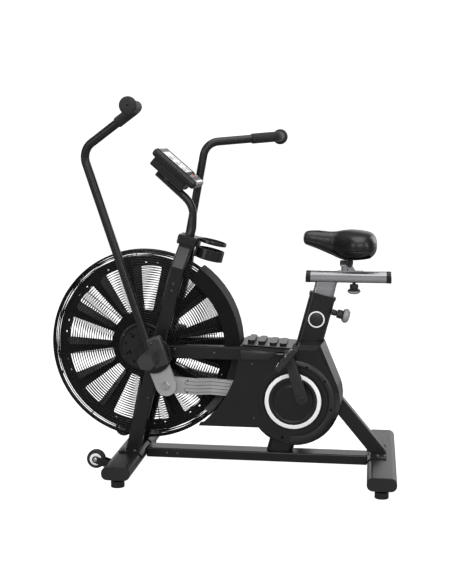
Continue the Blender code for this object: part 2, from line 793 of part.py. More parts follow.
def make_drive_pulley():
    """The large pulley on the crank axle."""
    outer = BELT_OUTER + 0.0005
    inner = BELT_INNER - 0.0005
    middle = (outer + inner) / 2
    r = CRANK_PULLEY_RADIUS
    bore = AXLE_RADIUS + GAP
    profile = [(r, outer), (r, inner), (r - 0.008, inner), (r - 0.008, middle - 0.002),
               (0.028, middle - 0.002), (0.028, inner), (bore, inner), (bore, outer),
               (0.028, outer), (0.028, middle + 0.002), (r - 0.008, middle + 0.002), (r - 0.008, outer)]
    pulley = turned_y(list(reversed(profile)), CRANK_X, CRANK_Z, 26)
    pinned(pulley, CRANK_X, 0, CRANK_Z)
    finish(pulley, "crank_pulley", DARK)


def make_crank_side(name, side):
    """A crank disc, its crank arm and its big-end bearing."""
    px, pz = throw_point(side)
    qx, qz = pedal_point(side)
    profile = [(0.0, DISC_OUTER - 0.005), (DISH_RADIUS, DISC_OUTER - 0.005), (0.085, DISC_OUTER),
               (DISC_RADIUS - 0.001, DISC_OUTER), (DISC_RADIUS, DISC_OUTER - 0.001),
               (DISC_RADIUS, DISC_INNER), (0.0, DISC_INNER)]
    disc = turned_y(profile, CRANK_X, CRANK_Z, 36, side)
    pinned(disc, CRANK_X, 0, CRANK_Z)
    finish(disc, f"{name}_crank_disc", SHELL)
    arm = side_plate(capsule(px, pz, 0.0155, qx, qz, 0.0150), *sorted((side * ARM_INNER, side * ARM_OUTER)))
    soften(arm, 0.003, 2, 60.0)
    weld(arm, rod_y(px, pz, AXLE_RADIUS, side * (DISC_OUTER - 0.005 + GAP), side * (ARM_INNER + 0.004), 20))
    weld(arm, rod_y(qx, qz, 0.006, side * (ARM_OUTER - 0.004), side * (PEDAL_OUTER - 0.006), 16))
    arm = mesh_of(arm)
    pinned(arm, CRANK_X, 0, CRANK_Z)
    finish(arm, f"{name}_crank_arm", DARK)
    bearing = rod_y(px, pz, BIG_END_RADIUS, side * BIG_END_INNER, side * BIG_END_OUTER, 24)
    cut(bearing, rod_y(px, pz, AXLE_RADIUS - 0.001 + GAP, side * 0.07, side * 0.11, 20))
    bearing = mesh_of(bearing)
    pinned(bearing, CRANK_X, 0, CRANK_Z)
    finish(bearing, f"{name}_big_end_bearing", STEEL)


def make_pedal(name, side):
    """A flat pedal, turning on the spindle of its crank arm."""
    x, z = pedal_point(side)
    y0 = side * PEDAL_INNER
    y1 = side * PEDAL_OUTER
    low, high = min(y0, y1), max(y0, y1)
    body = box((-0.030, low + 0.006, -0.011), (0.030, high - 0.004, 0.011))
    weld(body, box((-PEDAL_LENGTH / 2, low, -0.008), (-0.028, high, 0.014)))
    weld(body, box((0.028, low, -0.008), (PEDAL_LENGTH / 2, high, 0.014)))
    weld(body, rod_y(0, 0, 0.0125, low, low + 0.012, 20))
    cut(body, rod_y(0, 0, 0.006 + GAP, low - 0.01, high - 0.0035, 16))
    body = mesh_of(body)
    body.matrix_world = Matrix.Translation((x, 0, z)) @ Matrix.Rotation(-PEDAL_TILT, 4, 'Y')
    settle(body)
    pinned(body, x, 0, z)
    finish(body, f"{name}_pedal", DARK)


# ---------------------------------------------------------------- swinging arms
def arm_frame(side):
    """Where an arm stands at rest: local Z runs up its lower tube."""
    return leaned(PIVOT_X, PIVOT_Z, LEFT_LEAN if side < 0 else RIGHT_LEAN)


def arm_corners(side):
    """The corners of a handlebar tube in its arm's own frame."""
    bend = Vector((TUBE_OFFSET, side * TUBE_Y, TUBE_RISE))
    heading = Vector((math.cos(TUBE_TURN), 0, math.sin(TUBE_TURN))) * TUBE_REACH
    corner = bend + heading + Vector((0, side * TUBE_SPLAY, 0))
    end = corner + Vector((0, side * GRIP_LENGTH, 0))
    return [Vector((TUBE_OFFSET, side * TUBE_Y, -0.005)), bend, corner, end]


def handlebar(name, side):
    """The tube, its socket and the hub that turns on the pivot shaft."""
    corners = arm_corners(side)
    bar = tube(bent_path(corners, [BEND_RADIUS, GRIP_BEND], 5), TUBE_RADIUS, 3)
    low, high = sorted((side * (HUB_OUTER - 0.002), side * SOCKET_OUTER))
    socket = box((-0.002, low, -0.041), (0.052, high, 0.064))
    soften(socket, 0.008, 2)
    hub = rod_y(0, 0, HUB_RADIUS, side * HUB_INNER, side * HUB_OUTER, 40)
    boss = rod_y(0, 0, 0.024, side * (HUB_OUTER - 0.002), side * SOCKET_OUTER, 24)
    sleeve = rod_y(0, 0, SLEEVE_RADIUS, side * SLEEVE_INNER, side * (HUB_INNER + 0.002), 24)
    weld(bar, socket, hub, boss, sleeve)
    cut(bar, rod_y(0, 0, SHAFT_RADIUS + GAP, side * 0.09, side * 0.2, 24))
    bar = mesh_of(bar)
    bar.matrix_world = arm_frame(side)
    finish(bar, f"{name}_handlebar", PAINT)


def grip(name, side):
    """The foam sleeve over the end of a handlebar, with its end flange."""
    corners = arm_corners(side)
    start = corners[1].lerp(corners[2], GRIP_START)
    end = corners[3] + Vector((0, side * 0.0003, 0))
    path = bent_path([start, corners[2], end], [GRIP_BEND], 5)
    sleeve = tube(path, GRIP_RADIUS, 3)
    cap = rod_y(end.x, end.z, FLANGE_RADIUS, end.y - side * 0.002, end.y + side * 0.010, 24)
    before = corners[1].lerp(corners[2], GRIP_START - 0.2)
    inner = tube(bent_path([before, corners[2], corners[3] + Vector((0, side * 0.0001, 0))],
                           [GRIP_BEND], 5), TUBE_RADIUS + GAP, 3)
    weld(sleeve, cap)
    cut(sleeve, inner)
    sleeve = mesh_of(sleeve)
    sleeve.matrix_world = arm_frame(side)
    finish(sleeve, f"{name}_grip", FOAM)


def lever_end():
    """The lower pin in an arm's own frame."""
    return LEVER * math.sin(-LEVER_KICK), -LEVER * math.cos(LEVER_KICK)


def link_arm(name, side):
    """The grey lever under the hub, with the pin for the connecting rod."""
    kx, kz = lever_end()
    outline = capsule(0, 0, LINK_RADIUS, kx, kz, LINK_RADIUS, 12)
    lever = side_plate(outline, *sorted((side * LINK_INNER, side * (HUB_INNER - GAP))))
    weld(lever, rod_y(kx, kz, PIN_RADIUS, side * (ROD_INNER - 0.0005), side * (LINK_INNER + 0.003), 20))
    weld(lever, rod_y(kx, kz, 0.013, side * (HUB_INNER - 0.004), side * (HUB_INNER + 0.003), 24))
    cut(lever, rod_y(0, 0, SLEEVE_RADIUS + GAP, side * 0.1, side * 0.16, 24))
    lever = mesh_of(lever)
    lever.matrix_world = arm_frame(side)
    finish(lever, f"{name}_link_arm", GREY)


def rod_pin(side):
    """The lower pin of an arm, in the world's side view."""
    kx, kz = lever_end()
    place = arm_frame(side) @ Vector((kx, 0, kz))
    return place.x, place.z


def connecting_rod(name, side):
    """The cranked bar from a link arm back towards its crank pin."""
    kx, kz = rod_pin(side)
    ex, ez = throw_point(side)
    length = math.hypot(ex - kx, ez - kz)
    reach = length - 2 * THROW - BIG_END_RADIUS - 0.014
    half = ROD_HEIGHT / 2
    thick = 0.016
    joggle_start = 0.098
    joggle_end = 0.150
    inner_y = BIG_END_INNER
    path = [(0.0, ROD_INNER), (joggle_start, ROD_INNER), (joggle_end, inner_y), (reach, inner_y),
            (reach, inner_y + thick), (joggle_end + 0.003, inner_y + thick),
            (joggle_start + 0.003, ROD_OUTER - 0.0015), (0.0, ROD_OUTER - 0.0015)]
    if side < 0:
        path = [(px, -py) for px, py in reversed(path)]
    bar = plate(path, ROD_HEIGHT)
    eye = rod_y(0, 0, half, side * ROD_INNER, side * (ROD_OUTER - 0.0015), 24)
    weld(bar, eye)
    cut(bar, rod_y(0, 0, PIN_RADIUS + GAP, side * 0.09, side * 0.14, 20))
    bar = mesh_of(bar)
    heading = math.atan2(ez - kz, ex - kx)
    bar.matrix_world = Matrix.Translation((kx, 0, kz)) @ Matrix.Rotation(-heading, 4, 'Y')
    finish(bar, f"{name}_connecting_rod", GREY)


def foot_peg(name, side):
    """The fixed pivot shaft on the post, ending in a six-sided foot peg."""
    outer_post = POST_INNER + POST_THICKNESS + GAP
    shaft = rod_y(PIVOT_X, PIVOT_Z, SHAFT_RADIUS, side * outer_post, side * (PEG_INNER + 0.004), 24)
    bpy.ops.mesh.primitive_cylinder_add(
        vertices=6, radius=PEG_RADIUS, depth=PEG_OUTER - PEG_INNER,
        location=(PIVOT_X, side * (PEG_INNER + PEG_OUTER) / 2, PIVOT_Z),
        rotation=(math.pi / 2, math.radians(30), 0))
    weld(shaft, settle(bpy.context.object))
    finish(shaft, f"{name}_foot_peg", DARK)


# ---------------------------------------------------------------- seat
def oval(width, thick, count=6):
    """A tube section: flat flanks and round front and back."""
    return rounded(width, thick, thick / 2 - 0.0005, count)


def seat_frame():
    """A frame at the crank centre with local Z up the seat tube."""
    return leaned(CRANK_X, CRANK_Z, SEAT_LEAN)


def upright(outline, low, high):
    """An outline extruded along the seat tube's axis."""
    shape = plate(outline, high - low)
    shape.matrix_world = seat_frame() @ Matrix.Translation((0, 0, (low + high) / 2))
    return settle(shape)


def across_post(x, height, radius, length):
    """A cylinder across the seat tube's axis, about a point in its frame."""
    pin = rod_y(0, 0, radius, -length / 2, length / 2, 16)
    pin.matrix_world = seat_frame() @ Matrix.Translation((x, 0, height)) @ Matrix.Rotation(math.pi / 2, 4, 'Z')
    return settle(pin)


def make_seat_tube():
    """The oval tube from the base rail past the crank to the saddle post."""
    foot = -(CRANK_Z - RAIL_TOP) / math.cos(SEAT_LEAN)
    body = upright(oval(SEAT_TUBE_WIDTH, SEAT_TUBE_THICK), foot - 0.03, SEAT_TUBE_TOP)
    lip = upright(oval(SEAT_TUBE_WIDTH + 0.005, SEAT_TUBE_THICK + 0.005), SEAT_TUBE_TOP - 0.013,
                  SEAT_TUBE_TOP + 0.0004)
    cross = rod_y(0.292, 0.434, 0.020, -POST_INNER - 0.028, POST_INNER + 0.028, 16)
    shell = rod_y(CRANK_X, CRANK_Z, SHELL_RADIUS, -SHELL_HALF, SHELL_HALF)
    weld(body, lip, cross, shell)
    bore = upright(oval(SEAT_POST_WIDTH + 0.0012, SEAT_POST_THICK + 0.0012),
                   SEAT_TUBE_TOP - SEAT_POST_HIDDEN - 0.035, SEAT_TUBE_TOP + 0.05)
    floor = box((0.0, -0.2, -0.1), (0.4, 0.2, RAIL_TOP + GAP))
    axle = rod_y(CRANK_X, CRANK_Z, AXLE_RADIUS + GAP, -0.06, 0.06, 24)
    cut(body, bore, floor, axle, across_post(0.035, PIN_HEIGHT, PIN_HOLE, 0.06))
    finish(body, "seat_tube", PAINT)


def make_strut():
    """The rear strut from the seat tube down to the rear beam, on its saddle plate."""
    foot_x = 0.5586
    foot_z = 0.084
    top_x = 0.330
    top_z = foot_z + (foot_x - top_x) * 1.199
    length = math.hypot(foot_x - top_x, top_z - foot_z)
    lean = math.atan2(top_x - foot_x, top_z - foot_z)
    strut = box((-STRUT_DEPTH / 2, -STRUT_WIDTH / 2, -0.05), (STRUT_DEPTH / 2, STRUT_WIDTH / 2, length + 0.03))
    strut.matrix_world = leaned(foot_x, foot_z, lean)
    settle(strut)
    soften(strut, 0.004, 2)
    cut(strut, box((0.2, -0.3, -0.1), (0.9, 0.3, BEAM_TOP + GAP + 0.008)))
    keep = SEAT_TUBE_WIDTH / 2 + GAP
    front = box((-0.4, -0.2, -0.4), (keep, 0.2, 0.5))
    front.matrix_world = seat_frame()
    settle(front)
    cut(strut, front)
    shank = box((0.530, -0.018, BEAM_TOP + GAP + 0.002), (0.582, 0.018, BEAM_TOP + 0.014))
    reach = BEAM_WIDTH / 2 - BEAM_CORNER
    top = BEAM_TOP - BEAM_CORNER
    left = REAR_BEAM_X - reach
    curve_out = arc(left, top, BEAM_CORNER + GAP + SADDLE_PLATE, math.pi / 2, math.pi - 0.35, 6)
    curve_in = arc(left, top, BEAM_CORNER + GAP, math.pi - 0.35, math.pi / 2, 6)
    end_x = REAR_BEAM_X + 0.016
    wrap = [(end_x, BEAM_TOP + GAP + SADDLE_PLATE), *curve_out, *curve_in, (end_x, BEAM_TOP + GAP)]
    for side in (-1, 1):
        inner = side * 0.0395
        outer = side * 0.092
        weld(strut, side_plate(wrap, min(inner, outer), max(inner, outer)))
    weld(strut, shank)
    bridge = box((0.536, -0.060, BEAM_TOP + GAP), (end_x, 0.060, BEAM_TOP + GAP + SADDLE_PLATE))
    weld(strut, bridge)
    finish(strut, "rear_strut", PAINT)


def make_seat_post():
    """The aluminium post with the level slider tube welded on its top."""
    top = (SLIDER_Z - CRANK_Z) / math.cos(SEAT_LEAN)
    post = upright(oval(SEAT_POST_WIDTH, SEAT_POST_THICK), SEAT_TUBE_TOP - SEAT_POST_HIDDEN, top)
    outline = rounded(SLIDER_WIDTH, SLIDER_HEIGHT, 0.0125, 5)
    inner = rounded(SLIDER_WIDTH - 2 * SLIDER_WALL, SLIDER_HEIGHT - 2 * SLIDER_WALL, 0.0100, 5)
    lay = Matrix.Translation(((SLIDER_LEFT + SLIDER_RIGHT) / 2, 0, SLIDER_Z)) \
        @ Matrix.Rotation(math.pi / 2, 4, 'Z') @ Matrix.Rotation(math.pi / 2, 4, 'X')
    slider = plate(outline, SLIDER_RIGHT - SLIDER_LEFT)
    slider.matrix_world = lay
    settle(slider)
    hollow = plate(inner, SLIDER_RIGHT - SLIDER_LEFT - 2 * SLIDER_PLUG)
    hollow.matrix_world = lay
    settle(hollow)
    slot = box((CARRIAGE_X - 0.085, -SLOT_WIDTH / 2, SLIDER_Z), (CARRIAGE_X + 0.120, SLOT_WIDTH / 2, 0.75))
    under = box((KNOB_X - 0.075, -0.006, 0.66), (KNOB_X + 0.075, 0.006, SLIDER_Z))
    weld(post, slider)
    cut(post, hollow, slot, under)
    front = SEAT_POST_WIDTH / 2 + 0.002
    holes = [across_post(front, PIN_HEIGHT + PIN_SPACING * step, PIN_HOLE, 0.024) for step in range(-5, 2)]
    cut(post, joined(holes))
    finish(post, "seat_post", SILVER)


def make_carriage():
    """The block in the slider, the short post and the clamp under the saddle."""
    top = SLIDER_Z + SLIDER_HEIGHT / 2
    block = box((CARRIAGE_X - 0.025, -0.0140, SLIDER_Z - 0.0145), (CARRIAGE_X + 0.0650, 0.0140, top + 0.0015))
    post = rod_z(CARRIAGE_X, 0, CARRIAGE_RADIUS, top - 0.004, SADDLE_SEAT - 0.008, 24)
    fin = side_plate([(CARRIAGE_X, top), (CARRIAGE_X + 0.040, top), (CARRIAGE_X + 0.022, top + 0.026),
                      (CARRIAGE_X, top + 0.026)], -0.003, 0.003)
    clamp = rod_y(CARRIAGE_X + 0.012, SADDLE_SEAT - 0.010, 0.0125, -0.020, 0.020, 20)
    head = box((CARRIAGE_X - 0.017, -0.020, SADDLE_SEAT - 0.017), (CARRIAGE_X + 0.017, 0.020, SADDLE_SEAT))
    weld(block, post, fin, clamp, head)
    cut(block, rod_z(KNOB_X, 0, 0.0043, SLIDER_Z - 0.03, SLIDER_Z + 0.006, 12))
    finish(block, "saddle_carriage", SILVER)


def saddle_width(share):
    """Half of the saddle's width along its length, nose to tail."""
    if share < 0.42:
        return 0.030 + 0.018 * (share / 0.42) ** 1.6
    back = (share - 0.42) / 0.58
    return 0.048 + 0.062 * math.sin(math.pi / 2 * min(1.0, back * 1.35)) ** 1.5


def make_saddle():
    """The padded saddle, as a loft of rounded sections."""
    nose = 0.2845
    tail = 0.5465
    top = ((0.0, 0.848), (0.14, 0.868), (0.42, 0.863), (0.70, 0.870), (0.90, 0.861), (1.0, 0.838))
    low = ((0.0, 0.831), (0.14, 0.818), (0.42, 0.780), (0.60, 0.7645), (0.82, 0.7705), (1.0, 0.800))

    def level(table, share):
        for (a, za), (b, zb) in zip(table, table[1:]):
            if share <= b:
                blend = (share - a) / (b - a)
                return za + (zb - za) * blend * blend * (3 - 2 * blend)
        return table[-1][1]

    stations = 13
    ring = 16
    shape = bmesh.new()
    rows = []
    for i in range(stations):
        share = i / (stations - 1)
        x = nose + (tail - nose) * share
        z_top = level(top, share)
        z_low = level(low, share)
        end = 1.0 if 0 < i < stations - 1 else 0.55
        width = saddle_width(share) * end * (1.0 if share < 0.9 else 1.0 - (share - 0.9) * 2.6)
        row = []
        for k in range(ring):
            angle = 2 * math.pi * k / ring
            across = math.copysign(abs(math.cos(angle)) ** 0.75, math.cos(angle))
            rise = math.copysign(abs(math.sin(angle)) ** 0.85, math.sin(angle))
            middle = (z_top + z_low) / 2
            half = (z_top - z_low) / 2 * end
            row.append(shape.verts.new((x, width * across, middle + half * rise)))
        rows.append(row)
    for a, b in zip(rows, rows[1:]):
        for k in range(ring):
            shape.faces.new((a[k], a[(k + 1) % ring], b[(k + 1) % ring], b[k]))
    shape.faces.new(rows[0])
    shape.faces.new(rows[-1])
    bmesh.ops.recalc_face_normals(shape, faces=shape.faces)
    mesh = bpy.data.meshes.new("saddle")
    shape.to_mesh(mesh)
    shape.free()
    saddle = bpy.data.objects.new("saddle", mesh)
    bpy.context.scene.collection.objects.link(saddle)
    seat = box((CARRIAGE_X - 0.030, -0.034, 0.70), (CARRIAGE_X + 0.035, 0.034, SADDLE_SEAT + GAP))
    cut(saddle, seat)
    finish(saddle, "saddle", VINYL)


def make_seat_knobs():
    """The pull pin on the seat tube and the clamp knob under the slider."""
    profile = [(0.0, 0.064), (0.018, 0.062), (0.0245, 0.055), (0.0255, 0.046), (0.020, 0.039),
               (0.0150, 0.037), (0.0150, 0.019), (0.0070, 0.017), (0.0056, 0.0), (0.0056, -PIN_TIP),
               (0.0, -PIN_TIP)]
    knob = turned(profile, 20)
    knob.matrix_world = seat_frame() @ Matrix.Translation((SEAT_TUBE_WIDTH / 2 + 0.001, 0, PIN_HEIGHT)) \
        @ Matrix.Rotation(math.pi / 2, 4, 'Y')
    settle(knob)
    finish(knob, "seat_pull_knob", DARK)
    base = SLIDER_Z - SLIDER_HEIGHT / 2
    profile = [(0.0, -0.040), (0.016, -0.039), (0.0225, -0.033), (0.022, -0.026), (0.0145, -0.021),
               (0.0145, -0.006), (0.0060, -0.005), (0.0060, -0.0010), (0.0038, -0.0010),
               (0.0038, 0.012), (0.0, 0.012)]
    knob = turned(list(reversed(profile)), 20)
    knob.data.transform(Matrix.Translation((KNOB_X, 0, base)))
    pinned(knob, KNOB_X, 0, base)
    finish(knob, "saddle_clamp_knob", DARK)


# ---------------------------------------------------------------- covers
def cover_top(x):
    """The height of the covers' sloping top."""
    share = (x - TRAY_START) / (COVER_REAR_X - TRAY_START)
    return COVER_FRONT_TOP + (COVER_REAR_TOP - COVER_FRONT_TOP) * share


def cover_outline(inset, open_front, taper=0.0):
    """The covers' side view, drawn in by an inset and tapered towards the outside."""
    arc_radius = COVER_ARC - (0.03 if open_front else 0.0)
    bottom = COVER_BOTTOM + inset
    drop = inset + max(0.0, taper - 1.0) * 0.008
    neck = COVER_NECK - drop - taper * 0.004
    lobe = LOBE_RADIUS - inset - 0.0035 * min(1.0, taper) - 0.014 * max(0.0, taper - 1.0)
    lobe_x = LOBE_X - 0.0065 * min(1.0, taper)
    lobe_z = LOBE_Z - 0.0035 * min(1.0, taper)
    start = math.asin((COVER_FRONT_TOP - drop - COVER_ARC_Z) / arc_radius)
    end = -math.asin((COVER_ARC_Z - bottom) / arc_radius)
    front = arc(COVER_ARC_X, COVER_ARC_Z, arc_radius, start, end, 12)
    low = math.asin((bottom - lobe_z) / lobe)
    lobe_arc = arc(lobe_x, lobe_z, lobe, -math.pi - low, math.radians(21), 20)
    shoulder = (SHOULDER_X - inset * 0.6 - taper * 0.012, neck)
    rise = [(COVER_REAR_X + 0.008 + inset, neck), (COVER_REAR_X + inset, COVER_REAR_TOP - drop)]
    return front + lobe_arc + [shoulder] + rise


def lofted(levels):
    """A closed shape through side-view outlines standing at Y values."""
    shape = bmesh.new()
    rows = [[shape.verts.new((x, y, z)) for x, z in outline] for y, outline in levels]
    for row, following in zip(rows, rows[1:]):
        for k in range(len(row)):
            shape.faces.new((row[k - 1], row[k], following[k], following[k - 1]))
    shape.faces.new(rows[0])
    shape.faces.new(rows[-1])
    bmesh.ops.recalc_face_normals(shape, faces=shape.faces)
    mesh = bpy.data.meshes.new("lofted")
    shape.to_mesh(mesh)
    shape.free()
    obj = bpy.data.objects.new("lofted", mesh)
    bpy.context.scene.collection.objects.link(obj)
    return obj


def mirrored(obj):
    """The same shape on the other side of the middle plane."""
    obj.data.transform(Matrix.Scale(-1, 4, (0, 1, 0)))
    obj.data.flip_normals()
    return obj


def cover(name, side):
    """One side cover: a thin shell, open at the part line and the front."""
    shell = lofted([(PART_LINE, cover_outline(0.0, False)),
                    (COVER_FULL, cover_outline(0.0, False, 1.0)),
                    (COVER_OUTER, cover_outline(0.0, False, 2.0))])
    hollow = lofted([(-0.01, cover_outline(COVER_WALL, True)),
                     (COVER_FULL - 0.001, cover_outline(COVER_WALL, True, 1.0)),
                     (COVER_OUTER - COVER_WALL, cover_outline(COVER_WALL, True, 2.0))])
    fan_room = rod_y(FAN_X, FAN_Z, BAND_RADIUS + 0.0022, -0.02, BAND_HALF + 0.0115, 50)
    crank_hole = rod_y(CRANK_X, CRANK_Z, 0.056, 0.10, 0.13)
    sleeve = upright(oval(SEAT_TUBE_WIDTH + 0.008, SEAT_TUBE_THICK + 0.008), -0.3, 0.4)
    slot = box((-0.060, -STRUT_WIDTH / 2 - 0.002, -0.5), (STRUT_DEPTH / 2 + 0.03, STRUT_WIDTH / 2 + 0.002, 0.2))
    slot.matrix_world = leaned(0.447, 0.214, math.atan2(-0.1117, 0.1339))
    settle(slot)
    cut(shell, hollow, fan_room, crank_hole, sleeve, slot)
    shell = mesh_of(shell)
    if side < 0:
        mirrored(shell)
    return finish(shell, f"{name}_cover", SHELL)


def make_top_cover():
    """The ribbed tray on top of the covers."""
    middle = (TRAY_START + TRAY_END) / 2
    half = (TRAY_END - TRAY_START) / 2
    tilt = math.atan2(COVER_FRONT_TOP - COVER_REAR_TOP, COVER_REAR_X - TRAY_START)
    place = leaned(middle, cover_top(middle), tilt)
    tray = box((-half, -0.088, 0.0005), (half, 0.088, 0.005))
    soften(tray, 0.0015, 1)
    ribs = []
    for x, height in ((-0.063, 0.015), (-0.026, 0.013), (0.015, 0.011), (0.050, 0.011)):
        rib = plate(rounded(0.024, 0.120, 0.0115, 5, x, 0.0), height)
        rib.location = (0, 0, 0.002 + height / 2)
        ribs.append(settle(rib))
    weld(tray, joined(ribs))
    tray = mesh_of(tray)
    tray.matrix_world = place
    settle(tray)
    finish(tray, "top_cover", SHELL)


# ---------------------------------------------------------------- console
def make_mast():
    """The bent tube from the collar to the console."""
    posts = leaned(POST_FOOT_X, BEAM_TOP, POST_LEAN)
    foot = posts @ Vector((0.004, 0, POST_TOP + 0.012 + GAP))
    knee = posts @ Vector((0.004, 0, POST_TOP + 0.040))
    corners = [foot, knee, Vector((-0.103, 0, 0.953)), Vector((HINGE_X - 0.034, 0, HINGE_Z + 0.0245))]
    mast = tube(bent_path(corners, [0.050, 0.085], 5), MAST_RADIUS, 3)
    normal = Vector((math.sin(CONSOLE_TILT), 0, math.cos(CONSOLE_TILT)))
    lug_at = Vector((HINGE_X, 0, HINGE_Z)) + normal * 0.004
    lug = rod_y(lug_at.x, lug_at.z, 0.0125, -0.020, 0.020, 20)
    weld(mast, lug)
    finish(mast, "console_mast", PAINT)


def make_console():
    """The console housing on its hinge, with a button."""
    frame = leaned(CONSOLE_X, CONSOLE_Z, CONSOLE_TILT)
    half = CONSOLE_LENGTH / 2
    wide = CONSOLE_WIDTH / 2
    thick = CONSOLE_THICK / 2
    body = box((-half, -wide, -thick), (half, wide, thick))
    soften(body, 0.011, 3)
    back = box((-half + 0.014, -wide + 0.026, -thick - 0.033), (half - 0.030, wide - 0.026, -thick + 0.01))
    soften(back, 0.006, 2)
    weld(body, back)
    screen = box((-half + 0.024, -wide + 0.016, thick - 0.0015), (half - 0.058, wide - 0.016, thick + 0.01))
    pocket = rod_z(half - 0.036, 0, 0.0085, thick - 0.004, thick + 0.01, 20)
    cut(body, screen, pocket)
    body = mesh_of(body)
    body.matrix_world = frame
    settle(body)
    clearance = rod_y(HINGE_X, HINGE_Z, 0.0185, -0.0205, 0.0205, 24)
    trough = box((-0.20, -0.0165, -0.06), (0.20, 0.0165, MAST_RADIUS + 0.013))
    mast_frame = Matrix.Translation((HINGE_X, 0, HINGE_Z)) @ Matrix.Rotation(CONSOLE_TILT, 4, 'Y')
    trough.matrix_world = mast_frame
    settle(trough)
    pinned(body, HINGE_X, 0, HINGE_Z)
    cut(body, clearance, trough)
    finish(body, "console_housing", SHELL)
    button = rod_z(half - 0.036, 0, 0.0080, thick - 0.0030, thick + 0.0025, 20)
    button.matrix_world = frame
    settle(button)
    finish(button, "console_button", RED)


def make_holder():
    """The bottle holder: a back plate, a ring and a shallow cup."""
    frame = leaned(HOLDER_X, HOLDER_Z, POST_LEAN)
    r = HOLDER_RADIUS
    cup = rod_z(0, 0, r, -0.053, -0.016, 28)
    cup_hole = rod_z(0, 0, r - 0.003, -0.050, 0.05, 28)
    ring = rod_z(0, 0, r, 0.004, 0.015, 28)
    strap = box((-r - 0.016, -0.024, -0.053), (-r + 0.002, 0.024, 0.015))
    weld(cup, strap, ring)
    cut(cup, cup_hole)
    cup = mesh_of(cup)
    cup.matrix_world = frame
    settle(cup)
    clear = box((-0.3, -0.2, -0.2), (0.0345, 0.2, 1.2))
    clear.matrix_world = leaned(POST_FOOT_X, BEAM_TOP, POST_LEAN)
    settle(clear)
    cut(cup, clear)
    finish(cup, "bottle_holder", SHELL)


# ---------------------------------------------------------------- assembly
make_floor_frame()
make_feet()
make_wheels()
for side_name, side_sign in sides():
    front_post(side_name, side_sign)
    side_rail(side_name, side_sign)
    make_crank_side(side_name, side_sign)
    make_pedal(side_name, side_sign)
    handlebar(side_name, side_sign)
    grip(side_name, side_sign)
    link_arm(side_name, side_sign)
    connecting_rod(side_name, side_sign)
    foot_peg(side_name, side_sign)
    cover(side_name, side_sign)
make_collar()
make_guards()
make_band()
make_fan()
make_belt()
make_crankshaft()
make_drive_pulley()
make_seat_tube()
make_strut()
make_seat_post()
make_carriage()
make_saddle()
make_seat_knobs()
make_top_cover()
make_mast()
make_console()
make_holder()
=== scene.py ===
"""The air bike's looks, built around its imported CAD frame.

Metres, +Z up, +X towards the saddle, -Y the rider's left.
"""
import json
from math import atan2, copysign, cos, exp, hypot, pi, radians, sin, sqrt, tan

import bmesh
import bpy
from mathutils import Matrix, Vector


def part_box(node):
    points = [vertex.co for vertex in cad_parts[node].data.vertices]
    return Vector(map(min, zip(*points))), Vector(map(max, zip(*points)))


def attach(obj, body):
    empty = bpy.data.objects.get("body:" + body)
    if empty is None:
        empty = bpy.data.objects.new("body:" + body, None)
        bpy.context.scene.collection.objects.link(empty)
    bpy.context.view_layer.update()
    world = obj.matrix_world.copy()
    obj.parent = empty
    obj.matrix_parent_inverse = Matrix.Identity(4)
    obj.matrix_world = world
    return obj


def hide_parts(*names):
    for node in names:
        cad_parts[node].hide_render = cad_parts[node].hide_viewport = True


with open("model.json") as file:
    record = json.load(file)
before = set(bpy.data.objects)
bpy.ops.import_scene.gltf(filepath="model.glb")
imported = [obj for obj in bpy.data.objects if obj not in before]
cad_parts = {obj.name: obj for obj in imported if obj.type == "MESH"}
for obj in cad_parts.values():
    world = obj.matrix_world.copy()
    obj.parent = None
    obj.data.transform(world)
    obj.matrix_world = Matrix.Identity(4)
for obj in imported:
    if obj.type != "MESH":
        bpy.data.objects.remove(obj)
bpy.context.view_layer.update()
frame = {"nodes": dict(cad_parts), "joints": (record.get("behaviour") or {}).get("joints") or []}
NODES = frame["nodes"]
JOINTS = {j["name"]: j for j in frame["joints"]}

FAN = Vector(JOINTS["fan_turn"]["pos_m"])
CRANK = Vector(JOINTS["crank_turn"]["pos_m"])
PIVOT = Vector(JOINTS["left_arm_swing"]["pos_m"])
HINGE = Vector(JOINTS["console_tilt"]["pos_m"])
SIDES = (("left", -1), ("right", 1))

POST_LEAN = radians(14.25)
SEAT_LEAN = radians(14.7)
CONSOLE_TILT = radians(41.0)
PEG_TURN = -6.0
ARM_LEAN = {-1: radians(-18.5), 1: radians(10.6)}
BIG_END_RADIUS, BIG_END_ANGLE = 0.035, radians(24.0)
CRANK_LENGTH, PEDAL_ANGLE = 0.166, radians(95.5)
COVER_FACE = 0.118
BAND_CENTRE = Vector((0.2648, 0, 0.279))
CAGE_ARC_CENTRE = Vector((-0.278, 0, 0.4668))
CLAMP_KNOB = (0.4669, 0, 0.6857)
PULL_KNOB_OUT, PULL_KNOB_UP = 0.047, 0.319


# ---------------------------------------------------------------- materials
def put(node, **values):
    """Set a node's input sockets; underscores stand for spaces."""
    for key, value in values.items():
        node.inputs[key.replace("_", " ")].default_value = value


